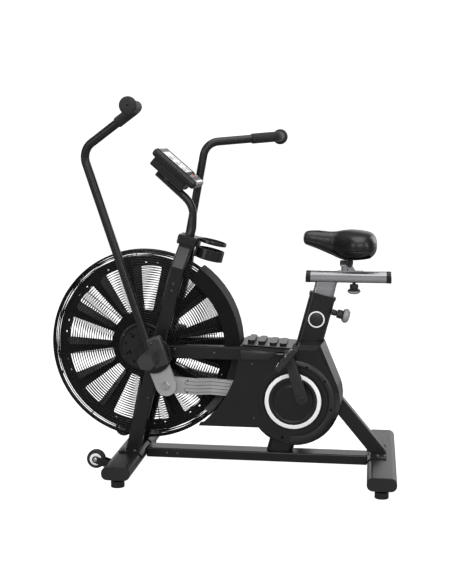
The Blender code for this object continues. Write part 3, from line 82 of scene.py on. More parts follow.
def material(name, base, rough, metallic=0.0, grain=500.0, bump=0.12, depth=0.00008, vary=0.18, patch=14.0,
        rough_vary=0.07, stretch=(1.0, 1.0, 1.0), cells=False, coat=0.0, sheen=0.0, shine=0.5):
    """A procedural surface: cloudy colour, uneven gloss and a fine grain in relief."""
    mat = bpy.data.materials.new(name)
    mat.use_nodes = True
    nodes, links = mat.node_tree.nodes, mat.node_tree.links
    shader = nodes["Principled BSDF"]
    put(shader, Metallic=metallic, Specular_IOR_Level=shine, Coat_Weight=coat, Coat_Roughness=0.25,
        Sheen_Weight=sheen)
    where = nodes.new("ShaderNodeTexCoord")
    spread = nodes.new("ShaderNodeMapping")
    put(spread, Scale=stretch)
    links.new(where.outputs["Object"], spread.inputs["Vector"])
    cloud = nodes.new("ShaderNodeTexNoise")
    put(cloud, Scale=patch, Detail=5.0)
    links.new(spread.outputs["Vector"], cloud.inputs["Vector"])
    ramp = nodes.new("ShaderNodeValToRGB")
    ramp.color_ramp.elements[0].position = 0.3
    ramp.color_ramp.elements[1].position = 0.7
    ramp.color_ramp.elements[0].color = [c * (1 - vary) for c in base] + [1.0]
    ramp.color_ramp.elements[1].color = [min(1.0, c * (1 + vary)) for c in base] + [1.0]
    links.new(cloud.outputs["Fac"], ramp.inputs["Fac"])
    links.new(ramp.outputs["Color"], shader.inputs["Base Color"])
    gloss = nodes.new("ShaderNodeMapRange")
    put(gloss, From_Min=0.3, From_Max=0.7, To_Min=rough - rough_vary, To_Max=rough + rough_vary)
    fine = nodes.new("ShaderNodeTexNoise")
    put(fine, Scale=grain * 0.25, Detail=3.0)
    links.new(spread.outputs["Vector"], fine.inputs["Vector"])
    links.new(fine.outputs["Fac"], gloss.inputs["Value"])
    links.new(gloss.outputs["Result"], shader.inputs["Roughness"])
    relief = nodes.new("ShaderNodeTexVoronoi" if cells else "ShaderNodeTexNoise")
    put(relief, Scale=grain)
    links.new(spread.outputs["Vector"], relief.inputs["Vector"])
    height = nodes.new("ShaderNodeBump")
    put(height, Strength=bump, Distance=depth)
    links.new(relief.outputs["Distance" if cells else "Fac"], height.inputs["Height"])
    links.new(height.outputs["Normal"], shader.inputs["Normal"])
    return mat


POWDER = material("powder_coat", (0.0068, 0.0068, 0.0073), 0.34, grain=900, bump=0.2, vary=0.2, shine=0.36)
SHELL = material("moulded_shell", (0.006, 0.006, 0.0064), 0.34, grain=1400, bump=0.2, vary=0.15, shine=0.34)
PANEL = material("moulded_panel", (0.012, 0.012, 0.013), 0.4, grain=1400, bump=0.25, vary=0.15, shine=0.42)
WIRE = material("wire_coat", (0.0045, 0.0045, 0.0048), 0.36, grain=700, bump=0.1, shine=0.28)
RIM_WIRE = material("rim_wire_coat", (0.008, 0.008, 0.0085), 0.3, grain=700, bump=0.1, shine=0.4)
BAND = material("band_paint", (0.0055, 0.0055, 0.0058), 0.6, grain=900, bump=0.15, shine=0.1)
BLADE = material("fan_paint", (0.005, 0.005, 0.0053), 0.5, grain=800, bump=0.15, shine=0.2)
VANE = material("fan_vane_paint", (0.03, 0.03, 0.032), 0.5, grain=800, bump=0.15, shine=0.35)
CAST = material("dark_casting", (0.015, 0.015, 0.0158), 0.4, grain=420, bump=0.4, vary=0.25, shine=0.42)
SOCKET = material("socket_casting", (0.027, 0.027, 0.0285), 0.38, grain=420, bump=0.35, vary=0.2, shine=0.5)
# Painted shade: a near-black for patches set where holes, wells and slots fall into shadow.
PAINTED_SHADE = material("shadowed_recess", (0.0022, 0.0022, 0.0023), 0.7, grain=600, bump=0.1, shine=0.05)
GREY = material("grey_casting", (0.36, 0.36, 0.365), 0.44, metallic=0.15, grain=380, bump=0.45, vary=0.12)
STEEL = material("turned_steel", (0.46, 0.46, 0.47), 0.28, metallic=1.0, grain=600, bump=0.1, stretch=(1, 6, 1))
BOLT = material("bolt_steel", (0.1, 0.1, 0.105), 0.34, metallic=0.9, grain=800, bump=0.1)
SILVER = material("brushed_aluminium", (0.3, 0.3, 0.31), 0.42, metallic=1.0, grain=420, bump=0.35,
    stretch=(0.04, 1.0, 1.0), vary=0.12, patch=60.0)
RUBBER = material("moulded_rubber", (0.0085, 0.0085, 0.0085), 0.6, grain=500, bump=0.2, vary=0.25, shine=0.4)
FOAM = material("closed_cell_foam", (0.009, 0.009, 0.0095), 0.72, grain=700, bump=0.35, depth=0.00015,
    cells=True, vary=0.22, sheen=0.05, shine=0.35)
VINYL = material("grained_vinyl", (0.0035, 0.0035, 0.0038), 0.38, grain=640, bump=0.22, depth=0.0001,
    cells=True, vary=0.2, shine=0.42)
STITCH = material("saddle_thread", (0.045, 0.045, 0.048), 0.75, grain=2200, bump=0.6, vary=0.25)
PALE = material("pale_plastic", (0.88, 0.88, 0.89), 0.42, grain=1200, bump=0.1, vary=0.05, rough_vary=0.05)
GREY_PLASTIC = material("grey_plastic", (0.26, 0.26, 0.265), 0.4, grain=1200, bump=0.15, vary=0.1)
GLASS = material("display_lens", (0.72, 0.74, 0.73), 0.2, grain=300, bump=0.02, vary=0.1, coat=0.6)
SEGMENT = material("display_segment", (0.02, 0.024, 0.024), 0.35, grain=900, bump=0.05)
RED = material("red_button", (0.46, 0.022, 0.02), 0.36, grain=900, bump=0.12, vary=0.12)


def paint(mat, *names):
    """Give CAD nodes a finished surface."""
    for name in names:
        slots = NODES[name].data.materials
        slots.clear()
        slots.append(mat)


def both(stem):
    """The left and right node of a pair."""
    return [f"{name}_{stem}" for name, _ in SIDES]


# ---------------------------------------------------------------- mesh making
def stand(name, data):
    """A new object in the scene."""
    obj = bpy.data.objects.new(name, data)
    bpy.context.scene.collection.objects.link(obj)
    return obj


def piece(name, shape, mat, body, slot=None, smooth=38.0, bevel=0.0, segments=2):
    """A finished mesh object that rides on a body."""
    bmesh.ops.remove_doubles(shape, verts=shape.verts, dist=1e-6)
    bmesh.ops.recalc_face_normals(shape, faces=shape.faces)
    limit = radians(smooth)
    for face in shape.faces:
        face.smooth = True
    for edge in shape.edges:
        edge.smooth = len(edge.link_faces) == 2 and edge.calc_face_angle(0.0) < limit
    mesh = bpy.data.meshes.new(name)
    shape.to_mesh(mesh)
    shape.free()
    obj = stand(name, mesh)
    mesh.materials.append(mat)
    if bevel:
        edge = obj.modifiers.new("edges", "BEVEL")
        edge.width = bevel
        edge.segments = segments
        edge.limit_method = "ANGLE"
        edge.angle_limit = radians(32)
    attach(obj, body)
    return obj


def blank():
    """An empty mesh to build in."""
    return bmesh.new()


def ring_faces(shape, a, b):
    """Join two rings of vertices with quads."""
    for k in range(len(a)):
        shape.faces.new((a[k - 1], a[k], b[k], b[k - 1]))


def loft(shape, rows):
    """Skin a run of rings and close both ends."""
    for a, b in zip(rows, rows[1:]):
        ring_faces(shape, a, b)
    shape.faces.new(rows[0])
    shape.faces.new(rows[-1])


def turns(count):
    """Evenly spaced angles round a circle."""
    return [2 * pi * k / count for k in range(count)]


def around(centre, radius, angle, y):
    """A point on a circle that stands in a side view plane."""
    return Vector((centre.x + radius * cos(angle), y, centre.z + radius * sin(angle)))


def sweep(shape, path, radius, sides=16, closed=False):
    """A round bar along a path; radius may change along it."""
    points = [Vector(p) for p in path]
    count = len(points)
    radii = radius if isinstance(radius, (list, tuple)) else [radius] * count
    rows = []
    normal = None
    for i, point in enumerate(points):
        before = points[i - 1] if i or closed else point
        after = points[(i + 1) % count] if i < count - 1 or closed else point
        heading = (after - before).normalized()
        if normal is None:
            trial = Vector((0, 1, 0)) if abs(heading.y) < 0.9 else Vector((1, 0, 0))
            normal = (trial - heading * trial.dot(heading)).normalized()
        else:
            normal = (normal - heading * normal.dot(heading)).normalized()
        across = heading.cross(normal)
        rows.append([shape.verts.new(point + (normal * cos(t) + across * sin(t)) * radii[i])
            for t in turns(sides)])
    for a, b in zip(rows, rows[1:]):
        ring_faces(shape, a, b)
    if closed:
        ring_faces(shape, rows[-1], rows[0])
    else:
        shape.faces.new(rows[0])
        shape.faces.new(rows[-1])
    return rows


def hoop(shape, centre, radius, wire, y, steps=120, sides=6, start=0.0, end=2 * pi):
    """A wire ring, or part of one, standing in a side view plane."""
    whole = end - start > 6.28
    count = max(8, int(steps * (end - start) / (2 * pi)))
    angles = [start + (end - start) * k / (count if whole else count - 1) for k in range(count)]
    path = [(centre.x + radius * cos(a), y, centre.z + radius * sin(a)) for a in angles]
    sweep(shape, path, wire, sides, whole)


def turned(shape, profile, place, steps=32):
    """A lathed form: (radius, height) pairs about local Z."""
    rows = []
    for radius, height in profile:
        if radius < 1e-6:
            rows.append([shape.verts.new(place @ Vector((0, 0, height)))])
        else:
            rows.append([shape.verts.new(place @ Vector((radius * cos(t), radius * sin(t), height)))
                for t in turns(steps)])
    for a, b in zip(rows, rows[1:]):
        if len(a) == 1 and len(b) == 1:
            continue
        for k in range(steps):
            if len(a) == 1:
                shape.faces.new((a[0], b[k], b[k - 1]))
            elif len(b) == 1:
                shape.faces.new((a[k - 1], a[k], b[0]))
            else:
                shape.faces.new((a[k - 1], a[k], b[k], b[k - 1]))
    for row, closed in ((rows[0], profile[0]), (rows[-1], profile[-1])):
        if len(row) > 1 and profile[0] != profile[-1]:
            shape.faces.new(row)


def brick(shape, low, high, place=None):
    """A block between two corners, in a frame of its own."""
    corners = [Vector((x, y, z)) for x in (low[0], high[0]) for y in (low[1], high[1]) for z in (low[2], high[2])]
    verts = [shape.verts.new(place @ c if place else c) for c in corners]
    for quad in ((0, 1, 3, 2), (4, 5, 7, 6), (0, 1, 5, 4), (2, 3, 7, 6), (0, 2, 6, 4), (1, 3, 7, 5)):
        shape.faces.new([verts[i] for i in quad])


def along(point, direction):
    """A frame at a point whose Z runs along a direction."""
    turn = Vector(direction).normalized().to_track_quat("Z", "Y").to_matrix().to_4x4()
    return Matrix.Translation(Vector(point)) @ turn


def bolt(shape, point, direction, radius=0.006, height=0.0035):
    """A button-head screw with a hex socket."""
    place = along(point, direction)
    hexagon = radius * 0.52
    deep = height * 0.35
    turned(shape, [(radius * 0.98, -0.0005), (radius, height * 0.25), (radius * 0.92, height * 0.6),
        (radius * 0.72, height * 0.93), (hexagon * 1.12, height)], place, 18)
    bmesh.ops.delete(shape, geom=[f
        for f in shape.faces if len(f.verts) == 18 and f.is_valid and (f.calc_center_median() - place @ Vector((0,
        0, height))).length < 1e-5], context="FACES_ONLY")
    rim = [shape.verts.new(place @ Vector((hexagon * 1.12 * cos(t), hexagon * 1.12 * sin(t), height)))
        for t in turns(18)]
    low = [shape.verts.new(place @ Vector((hexagon * cos(t), hexagon * sin(t), deep)))
        for t in (2 * pi * (k // 3 * 3) / 18 for k in range(18))]
    keep = [low[k] for k in range(0, 18, 3)]
    for k in range(6):
        a, b = keep[k], keep[(k + 1) % 6]
        edge = [rim[(3 * k + j) % 18] for j in range(4)]
        shape.faces.new([a] + edge + [b])
    shape.faces.new(keep)
    for v in low:
        if not v.link_faces:
            shape.verts.remove(v)


def lathe(name, profile, place, steps, *finish):
    """A piece that is one lathed form."""
    shape = blank()
    turned(shape, profile, place, steps)
    return piece(name, shape, *finish)


def block(name, low, high, place, *finish):
    """A piece that is one block."""
    shape = blank()
    brick(shape, low, high, place)
    return piece(name, shape, *finish)


def sheet(obj, thickness):
    """Thicken a surface evenly to both sides."""
    solid = obj.modifiers.new("sheet", "SOLIDIFY")
    solid.thickness = thickness
    solid.offset = 0.0


def leaned(x, z, lean):
    """A frame in the middle plane, tipped towards +X."""
    return Matrix.Translation((x, 0, z)) @ Matrix.Rotation(lean, 4, "Y")


def bent(corners, radii, steps=10):
    """A path through corners, rounded at each inner one."""
    points = [Vector(c) for c in corners]
    path = [points[0]]
    for i, radius in enumerate(radii, 1):
        a = (points[i - 1] - points[i]).normalized()
        b = (points[i + 1] - points[i]).normalized()
        half = a.angle(b) / 2
        back = radius / tan(half)
        start, end = points[i] + a * back, points[i] + b * back
        centre = points[i] + (a + b).normalized() * (radius / sin(half))
        sweep_angle = pi - 2 * half
        u = (start - centre).normalized()
        v = (end - centre) - u * (end - centre).dot(u)
        v.normalize()
        path += [centre + (u * cos(sweep_angle * k / steps) + v * sin(sweep_angle * k / steps)) * radius
            for k in range(steps + 1)]
    path.append(points[-1])
    return path


# ---------------------------------------------------------------- camera, floor and light
def make_studio():
    """The photo's camera, a white floor and soft area lights."""
    cam_data = bpy.data.cameras.new("camera")
    cam_data.lens = 67.1
    cam_data.sensor_width = 36.0
    cam = stand("camera", cam_data)
    cam.location = (0.5317, -3.817, 1.1728)
    cam.rotation_euler = (radians(90 - 7.819), 0, radians(7.739))
    bpy.context.scene.camera = cam

    half = 60.0
    shape = blank()
    shape.faces.new([shape.verts.new((x, y, -0.0005)) for x, y in ((-half, -half), (half, -half), (half, half),
        (-half, half))])
    mesh = bpy.data.meshes.new("studio_floor")
    shape.to_mesh(mesh)
    shape.free()
    floor = stand("studio_floor", mesh)
    mesh.materials.append(studio_paper())

    world = bpy.data.worlds.new("studio")
    bpy.context.scene.world = world
    world.use_nodes = True
    nodes, links = world.node_tree.nodes, world.node_tree.links
    background = nodes["Background"]
    put(background, Color=(1, 1, 1, 1))
    ray = nodes.new("ShaderNodeLightPath")
    level = nodes.new("ShaderNodeMapRange")
    put(level, To_Min=0.16, To_Max=1.15)
    links.new(ray.outputs["Is Camera Ray"], level.inputs["Value"])
    links.new(level.outputs["Result"], background.inputs["Strength"])

    def lamp(name, place, aim, size, power):
        data = bpy.data.lights.new(name, "AREA")
        data.shape = "RECTANGLE"
        data.size, data.size_y = size
        data.energy = power
        light = stand(name, data)
        light.location = place
        light.rotation_euler = (Vector(aim) - Vector(place)).to_track_quat("-Z", "Y").to_euler()

    lamp("overhead_softbox", (0.1, -0.6, 3.6), (0, 0, 0), (3.0, 3.0), 105)
    lamp("left_strip", (-2.6, -2.6, 1.8), (-0.1, 0, 0.6), (0.7, 2.2), 34)
    lamp("right_strip", (3.0, -2.0, 1.8), (0.2, 0, 0.6), (0.7, 2.2), 36)
    lamp("front_fill", (0.6, -5.2, 2.4), (0, 0, 0.6), (3.0, 2.0), 95)
    lamp("backdrop_panel", (0.0, 7.5, 2.0), (0, 0, 1.2), (16.0, 5.0), 250)
    lamp("rear_left_strip", (-2.6, 2.8, 2.0), (0, 0, 0.7), (0.9, 2.2), 26)
    lamp("rear_right_strip", (2.6, 2.8, 2.0), (0, 0, 0.7), (0.9, 2.2), 26)
    bpy.context.scene.view_settings.view_transform = "Standard"


def studio_paper():
    """White paper that photographs pure white, with only a faint shadow."""
    mat = bpy.data.materials.new("studio_paper")
    mat.use_nodes = True
    nodes, links = mat.node_tree.nodes, mat.node_tree.links
    shader = nodes["Principled BSDF"]
    put(shader, Base_Color=(0.35, 0.35, 0.35, 1), Roughness=0.9, Specular_IOR_Level=0.0, Emission_Color=(1, 1, 1, 1))
    ray = nodes.new("ShaderNodeLightPath")
    level = nodes.new("ShaderNodeMapRange")
    put(level, To_Min=0.1, To_Max=0.97)
    links.new(ray.outputs["Is Camera Ray"], level.inputs["Value"])
    links.new(level.outputs["Result"], shader.inputs["Emission Strength"])
    return mat


# ---------------------------------------------------------------- fan cage
CAGE_RADIUS = 0.3448
CAGE_HUB = 0.077
CAGE_SHOULDER = 0.285
WIRE_STEP = 0.0088
WIRE_RADIUS = 0.0014
BELT_NOTCH = radians(17.5)
NOTCH_INNER = 0.262


def cage_y(radius):
    """How far the cage stands off the middle plane."""
    if radius <= CAGE_SHOULDER:
        return 0.0585 - 0.004 * (radius / CAGE_SHOULDER) ** 2
    share = (radius - CAGE_SHOULDER) / (CAGE_RADIUS - CAGE_SHOULDER)
    return 0.0045 + 0.05 * sqrt(max(0.0, 1 - share ** 2.2))


def cage_stations(step):
    """Radii spaced evenly along the cage's profile."""
    samples = [CAGE_HUB + (CAGE_RADIUS - CAGE_HUB) * k / 800 for k in range(801)]
    stations = []
    travelled = 0.0
    due = step
    for a, b in zip(samples, samples[1:]):
        travelled += hypot(b - a, cage_y(b) - cage_y(a))
        if travelled >= due:
            stations.append(b)
            due += step
    return stations


def make_cage(name, side):
    """Half of the fan cage: wire rings, ribs, rims, hub plate and clips."""
    notch = (BELT_NOTCH, 2 * pi - BELT_NOTCH) if side > 0 else ()
    wires = blank()
    for radius in cage_stations(WIRE_STEP):
        y = side * (cage_y(radius) - WIRE_RADIUS)
        hoop(wires, FAN, radius, WIRE_RADIUS, y, 120, 6, *(notch if radius > NOTCH_INNER else ()))
    cage = piece(f"{name}_cage_wires", wires, WIRE, "frame", "cage_wire", 60)
    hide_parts(f"{name}_fan_guard")
    ribs = blank()
    for k in range(8):
        angle = 2 * pi * (k + 0.16) / 8
        inside = abs((angle + pi) % (2 * pi) - pi) < BELT_NOTCH + 0.02
        radii = [CAGE_HUB + (CAGE_RADIUS - 0.003 - CAGE_HUB) * (1 - (1 - t / 22) ** 1.6) for t in range(23)]
        if side > 0 and inside:
            radii = [r for r in radii if r < NOTCH_INNER]
        path = [around(FAN, r, angle, side * (cage_y(r) - 3.2 * WIRE_RADIUS)) for r in radii]
        sweep(ribs, path, 0.0014, 6)
    piece(f"{name}_cage_ribs", ribs, WIRE, "frame", "cage_wire", 60)
    rims = blank()
    hoop(rims, FAN, 0.3414, 0.0033, side * 0.0055, 160, 10)
    hoop(rims, FAN, 0.334, 0.0026, side * 0.0262, 160, 8, *notch)
    piece(f"{name}_cage_rims", rims, RIM_WIRE, "frame", "cage_wire", 60)
    hub = blank()
    place = along((FAN.x, 0, FAN.z), (0, side, 0))
    turned(hub, [(0.0735, 0.0535), (0.0735, 0.0585), (0.075, 0.0595), (0.0855, 0.059), (0.0875, 0.0575),
        (0.0875, 0.0552), (0.0735, 0.0535)], place, 72)
    piece(f"{name}_cage_hub", hub, WIRE, "frame", "cage_wire", 50)
    # Dark patches on the hub plate: painted shade where its slot holes would be.
    slots = blank()
    for k in range(10):
        turn = Matrix.Translation(FAN) @ Matrix.Rotation(2 * pi * k / 10 + 0.2, 4, "Y")
        for r, w in ((0.05, 0.0062), (0.062, 0.0036)):
            low, high = sorted((side * 0.0635, side * 0.0644))
            if k % 2 == 0 or r > 0.055:
                brick(slots, (r - 0.0035, low, -w), (r + 0.0035, high, w), turn)
    piece(f"{name}_hub_slot_shade", slots, PAINTED_SHADE, "frame", "cage_wire", 30)
    clips = blank()
    for angle in (radians(a) for a in (20, 75, 130, 200, 255, 310)):
        if side > 0 and abs((angle + pi) % (2 * pi) - pi) < BELT_NOTCH + 0.1:
            continue
        radial = Vector((cos(angle), 0, sin(angle)))
        spot = FAN + radial * 0.3395
        turn = Matrix.Translation(spot) @ Matrix.Rotation(-angle, 4, "Y")
        low, high = sorted((side * 0.0008, side * 0.0105))
        brick(clips, (-0.0045, low, -0.006), (0.0048, high, 0.006), turn)
    piece(f"{name}_cage_clips", clips, POWDER, "frame", "cage_wire", 30, 0.001)


# ---------------------------------------------------------------- fan wheel
FAN_BLADES = 13
WINDOW = (0.125, 0.286)
WINDOW_HALF = radians(7.6)
FIRST_WINDOW = radians(2.3)


def make_fan_wheel():
    """A pressed disc with open windows, drilled rim and a bent blade behind each window."""
    radii = [0.034, 0.06, 0.095, 0.108, 0.112, 0.121, 0.125, 0.129, 0.18, 0.24, 0.282, 0.286, 0.2955, 0.3005,
        0.308, 0.3225]
    pitch = 2 * pi / FAN_BLADES
    offsets = [-WINDOW_HALF, -WINDOW_HALF + 0.014, -WINDOW_HALF * 0.62, -WINDOW_HALF * 0.45, 0.0,
        WINDOW_HALF * 0.45, WINDOW_HALF * 0.62, WINDOW_HALF - 0.014, WINDOW_HALF, WINDOW_HALF + radians(4.5),
        WINDOW_HALF + radians(8.0)]
    shape = blank()
    grid = []
    for i in range(FAN_BLADES):
        for j, offset in enumerate(offsets):
            angle = FIRST_WINDOW + pitch * i + offset
            column = []
            for r in radii:
                column.append(shape.verts.new(around(FAN, r, angle, 0)))
            grid.append((j, column))
    for n in range(len(grid)):
        j, a = grid[n]
        _, b = grid[(n + 1) % len(grid)]
        for k in range(len(radii) - 1):
            inner, outer = radii[k], radii[k + 1]
            in_window = j < 8 and inner >= WINDOW[0] - 1e-6 and outer <= WINDOW[1] + 1e-6
            corner = j in (0, 7) and (k == radii.index(0.125) or k == radii.index(0.282))
            hole = j in (2, 5) and inner == 0.2955
            if (in_window and not corner) or hole:
                continue
            if in_window and corner:
                far = outer == 0.286
                left = j == 0
                quad = [a[k], a[k + 1], b[k + 1], b[k]]
                drop = (b[k] if far else b[k + 1]) if left else (a[k] if far else a[k + 1])
                shape.faces.new([v for v in quad if v is not drop])
            else:
                shape.faces.new((a[k], a[k + 1], b[k + 1], b[k]))
    bmesh.ops.delete(shape, geom=[v for v in shape.verts if not v.link_faces], context="VERTS")
    disc = piece("fan_wheel_disc", shape, BLADE, "fan", "frame_paint", 30)
    sheet(disc, 0.003)
    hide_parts("fan_wheel")
    blades = blank()
    for i in range(FAN_BLADES):
        edge = FIRST_WINDOW + pitch * i + WINDOW_HALF + radians(1.2)
        rows = []
        for step in range(9):
            y = -0.03 + 0.0075 * step
            middle = (WINDOW[0] + WINDOW[1]) / 2
            half = (WINDOW[1] - WINDOW[0]) / 2 + 0.002 - 0.014 * (abs(y) / 0.03) ** 3
            swirl = edge - radians(1.0) + radians(4.6) * abs(y) / 0.03
            rows.append([blades.verts.new(around(FAN, r, swirl, y)) for r in (middle - half,
                middle - half * 0.4, middle + half * 0.4, middle + half)])
        for a, b in zip(rows, rows[1:]):
            for k in range(3):
                blades.faces.new((a[k], a[k + 1], b[k + 1], b[k]))
    vanes = piece("fan_blades", blades, VANE, "fan", "frame_paint", 50)
    sheet(vanes, 0.0016)
    hub = blank()
    for side in (-1, 1):
        place = along((FAN.x, 0, FAN.z), (0, side, 0))
        turned(hub, [(0.0084, 0.0), (0.06, 0.0), (0.06, 0.003), (0.057, 0.0045), (0.038, 0.005), (0.035, 0.007),
            (0.0345, 0.0345), (0.033, 0.036), (0.0084, 0.036), (0.0084, 0.0)], place, 48)
        for t in turns(6):
            bolt(hub, around(FAN, 0.048, t, side * 0.0048), (0, side, 0), 0.005, 0.003)
    piece("fan_hub", hub, CAST, "fan", "frame_paint", 35)


# ---------------------------------------------------------------- handles
def arm_frame(side):
    """A frame at the arm pivot whose Z runs up the arm."""
    return leaned(PIVOT.x, PIVOT.z, ARM_LEAN[side])


def make_arm(name, side):
    """A smooth bent handlebar with its socket, hub and foam sleeve."""
    place = arm_frame(side)
    bend = Vector((-0.001, side * 0.1725, 0.748))
    turn = radians(15.6)
    corner = bend + Vector((cos(turn), 0, sin(turn))) * 0.256 + Vector((0, side * 0.07, 0))
    end = corner + Vector((0, side * 0.145, 0))
    corners = [Vector((-0.001, side * 0.1725, 0.01)), bend, corner, end]
    tube = blank()
    sweep(tube, [place @ p for p in bent(corners, [0.06, 0.035], 14)], 0.015, 24)
    bar = piece(f"{name}_bar", tube, POWDER, f"{name}_arm", "frame_paint", 50)
    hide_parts(f"{name}_handlebar")
    socket = blank()
    low, high = sorted((side * 0.158, side * 0.1893))
    brick(socket, (-0.002, low, -0.041), (0.052, high, 0.064), place)
    piece(f"{name}_socket", socket, SOCKET, f"{name}_arm", "frame_paint", 30, 0.007, 4)
    hub = blank()
    axis = place @ along((0, 0, 0), (0, side, 0))
    turned(hub, [(0.0115, 0.1065), (0.0218, 0.1065), (0.0218, 0.147), (0.0625, 0.1476), (0.064, 0.149), (0.064,
        0.158), (0.0625, 0.1598), (0.056, 0.16), (0.0545, 0.1588), (0.03, 0.1588), (0.0285, 0.16), (0.024,
        0.1605), (0.024, 0.188), (0.0228, 0.1893), (0.0115, 0.1893), (0.0115, 0.1065)], axis, 56)
    piece(f"{name}_arm_hub", hub, POWDER, f"{name}_arm", "frame_paint", 30)
    screws = blank()
    for x, z in ((0.013, 0.046), (0.036, 0.052)):
        bolt(screws, place @ Vector((x, side * 0.1893, z)), (0, side, 0), 0.0048, 0.003)
    for k in range(5):
        t = radians(200 + 36 * k)
        spot = place @ Vector((0.044 * cos(t), side * 0.1588, 0.044 * sin(t)))
        bolt(screws, spot, (0, side, 0), 0.004, 0.002)
    piece(f"{name}_arm_screws", screws, BOLT, f"{name}_arm", "steel", 35)

    start = bend.lerp(corner, 0.64)
    path = bent([start, corner, end + Vector((0, side * 0.0003, 0))], [0.035], 14)
    run = [path[0]]
    for a, b in zip(path, path[1:]):
        steps = max(1, int((b - a).length / 0.008))
        run += [a.lerp(b, (k + 1) / steps) for k in range(steps)]
    radii = [0.0188] * len(run)
    radii[0] = 0.0166
    run.insert(1, run[0].lerp(run[1], 0.15))
    radii.insert(1, 0.0183)
    foam = blank()
    sweep(foam, [place @ p for p in run], radii, 24)
    sleeve = piece(f"{name}_foam_grip", foam, FOAM, f"{name}_arm", "foam", 50)
    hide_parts(f"{name}_grip")
    lathe(f"{name}_grip_flange", [(0.0, -0.003), (0.0262, -0.003), (0.028, -0.002), (0.029, 0.0008), (0.029,
        0.005), (0.0275, 0.0082), (0.024, 0.0099), (0.01, 0.0103), (0.004, 0.0103), (0.0034, 0.0092), (0.003,
        0.0062), (0.0, 0.0062)], along(place @ end, (0, side, 0)), 48, RUBBER, f"{name}_arm", "foam", 40)


def crank_point(side, radius, angle):
    """A point on the crank circle; the right side is half a turn on."""
    return around(CRANK, radius, angle + (0 if side < 0 else pi), 0)


def make_link_details(name, side):
    """The link arm's pin cap, the rod's screws, and dark lines of painted shade along the rod's long grooves."""
    place = arm_frame(side)
    kick = radians(-2.9)
    pin = place @ Vector((0.117 * sin(-kick), side * 0.1475, -0.117 * cos(kick)))
    lathe(f"{name}_link_pin_cap", [(0.0, -0.004), (0.0135, -0.004), (0.0135, 0.0022), (0.012, 0.0036), (0.006,
        0.004), (0.005, 0.0025), (0.0, 0.0025)], along(pin + Vector((0, side * 0.001, 0)), (0, side, 0)), 36,
        STEEL, f"{name}_arm", "steel", 35)
    joint = Vector(JOINTS[f"{name}_rod_turn"]["pos_m"])
    target = crank_point(side, BIG_END_RADIUS, BIG_END_ANGLE)
    heading = atan2(target.z - joint.z, target.x - joint.x)
    rod = Matrix.Translation(joint) @ Matrix.Rotation(-heading, 4, "Y")
    def face_y(x):
        share = min(1.0, max(0.0, (x - 0.101) / 0.052))
        return side * (0.1241 - 0.029 * share)
    # Dark lines on the grey rod: painted shade along its long grooves.
    grooves = blank()
    for z in (-0.0125, 0.0125):
        span = [0.066 + 0.0066 * k for k in range(24)]
        loop = [(x, z + 0.0062) for x in span] + [(0.2215, z)] + [(x, z - 0.0062)
            for x in reversed(span)] + [(0.062, z)]
        sweep(grooves, [rod @ Vector((x, face_y(x), h)) for x, h in loop], 0.0008, 6, True)
    piece(f"{name}_rod_groove_shade", grooves, CAST, f"{name}_rod", "grey_casting", 60)
    screws = blank()
    for x, z in ((0.072, 0.0215), (0.072, -0.0215), (0.02, 0.0205), (0.02, -0.0205)):
        bolt(screws, rod @ Vector((x, side * 0.1238, z)), (0, side, 0), 0.0032, 0.0018)
    piece(f"{name}_rod_screws", screws, BOLT, f"{name}_rod", "steel", 35)


def make_peg_details(name, side):
    """A six-sided foot peg with fine grooves, on its pivot shaft."""
    peg = blank()
    rows = []
    count = 34
    for k in range(count + 1):
        y = 0.1915 + (0.285 - 0.1915) * k / count
        ends = 0.0012 if k in (0, count) else 0.0
        radius = 0.0303 - (0.0007 if 4 < k < count - 1 and k % 2 else 0.0) - ends
        rows.append([peg.verts.new(around(PIVOT, radius, t, side * y)) for t in (radians(60 * j + PEG_TURN)
            for j in range(6))])
    loft(peg, rows)
    foot = piece(f"{name}_peg_sleeve", peg, SOCKET, "frame", "dark_casting", 25)
    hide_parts(f"{name}_foot_peg")
    lathe(f"{name}_peg_shaft", [(0.0, 0.1023), (0.011, 0.1023), (0.011, 0.1925), (0.0, 0.1925)], along((PIVOT.x,
        0, PIVOT.z), (0, side, 0)), 28, STEEL, "frame", "steel", 35)


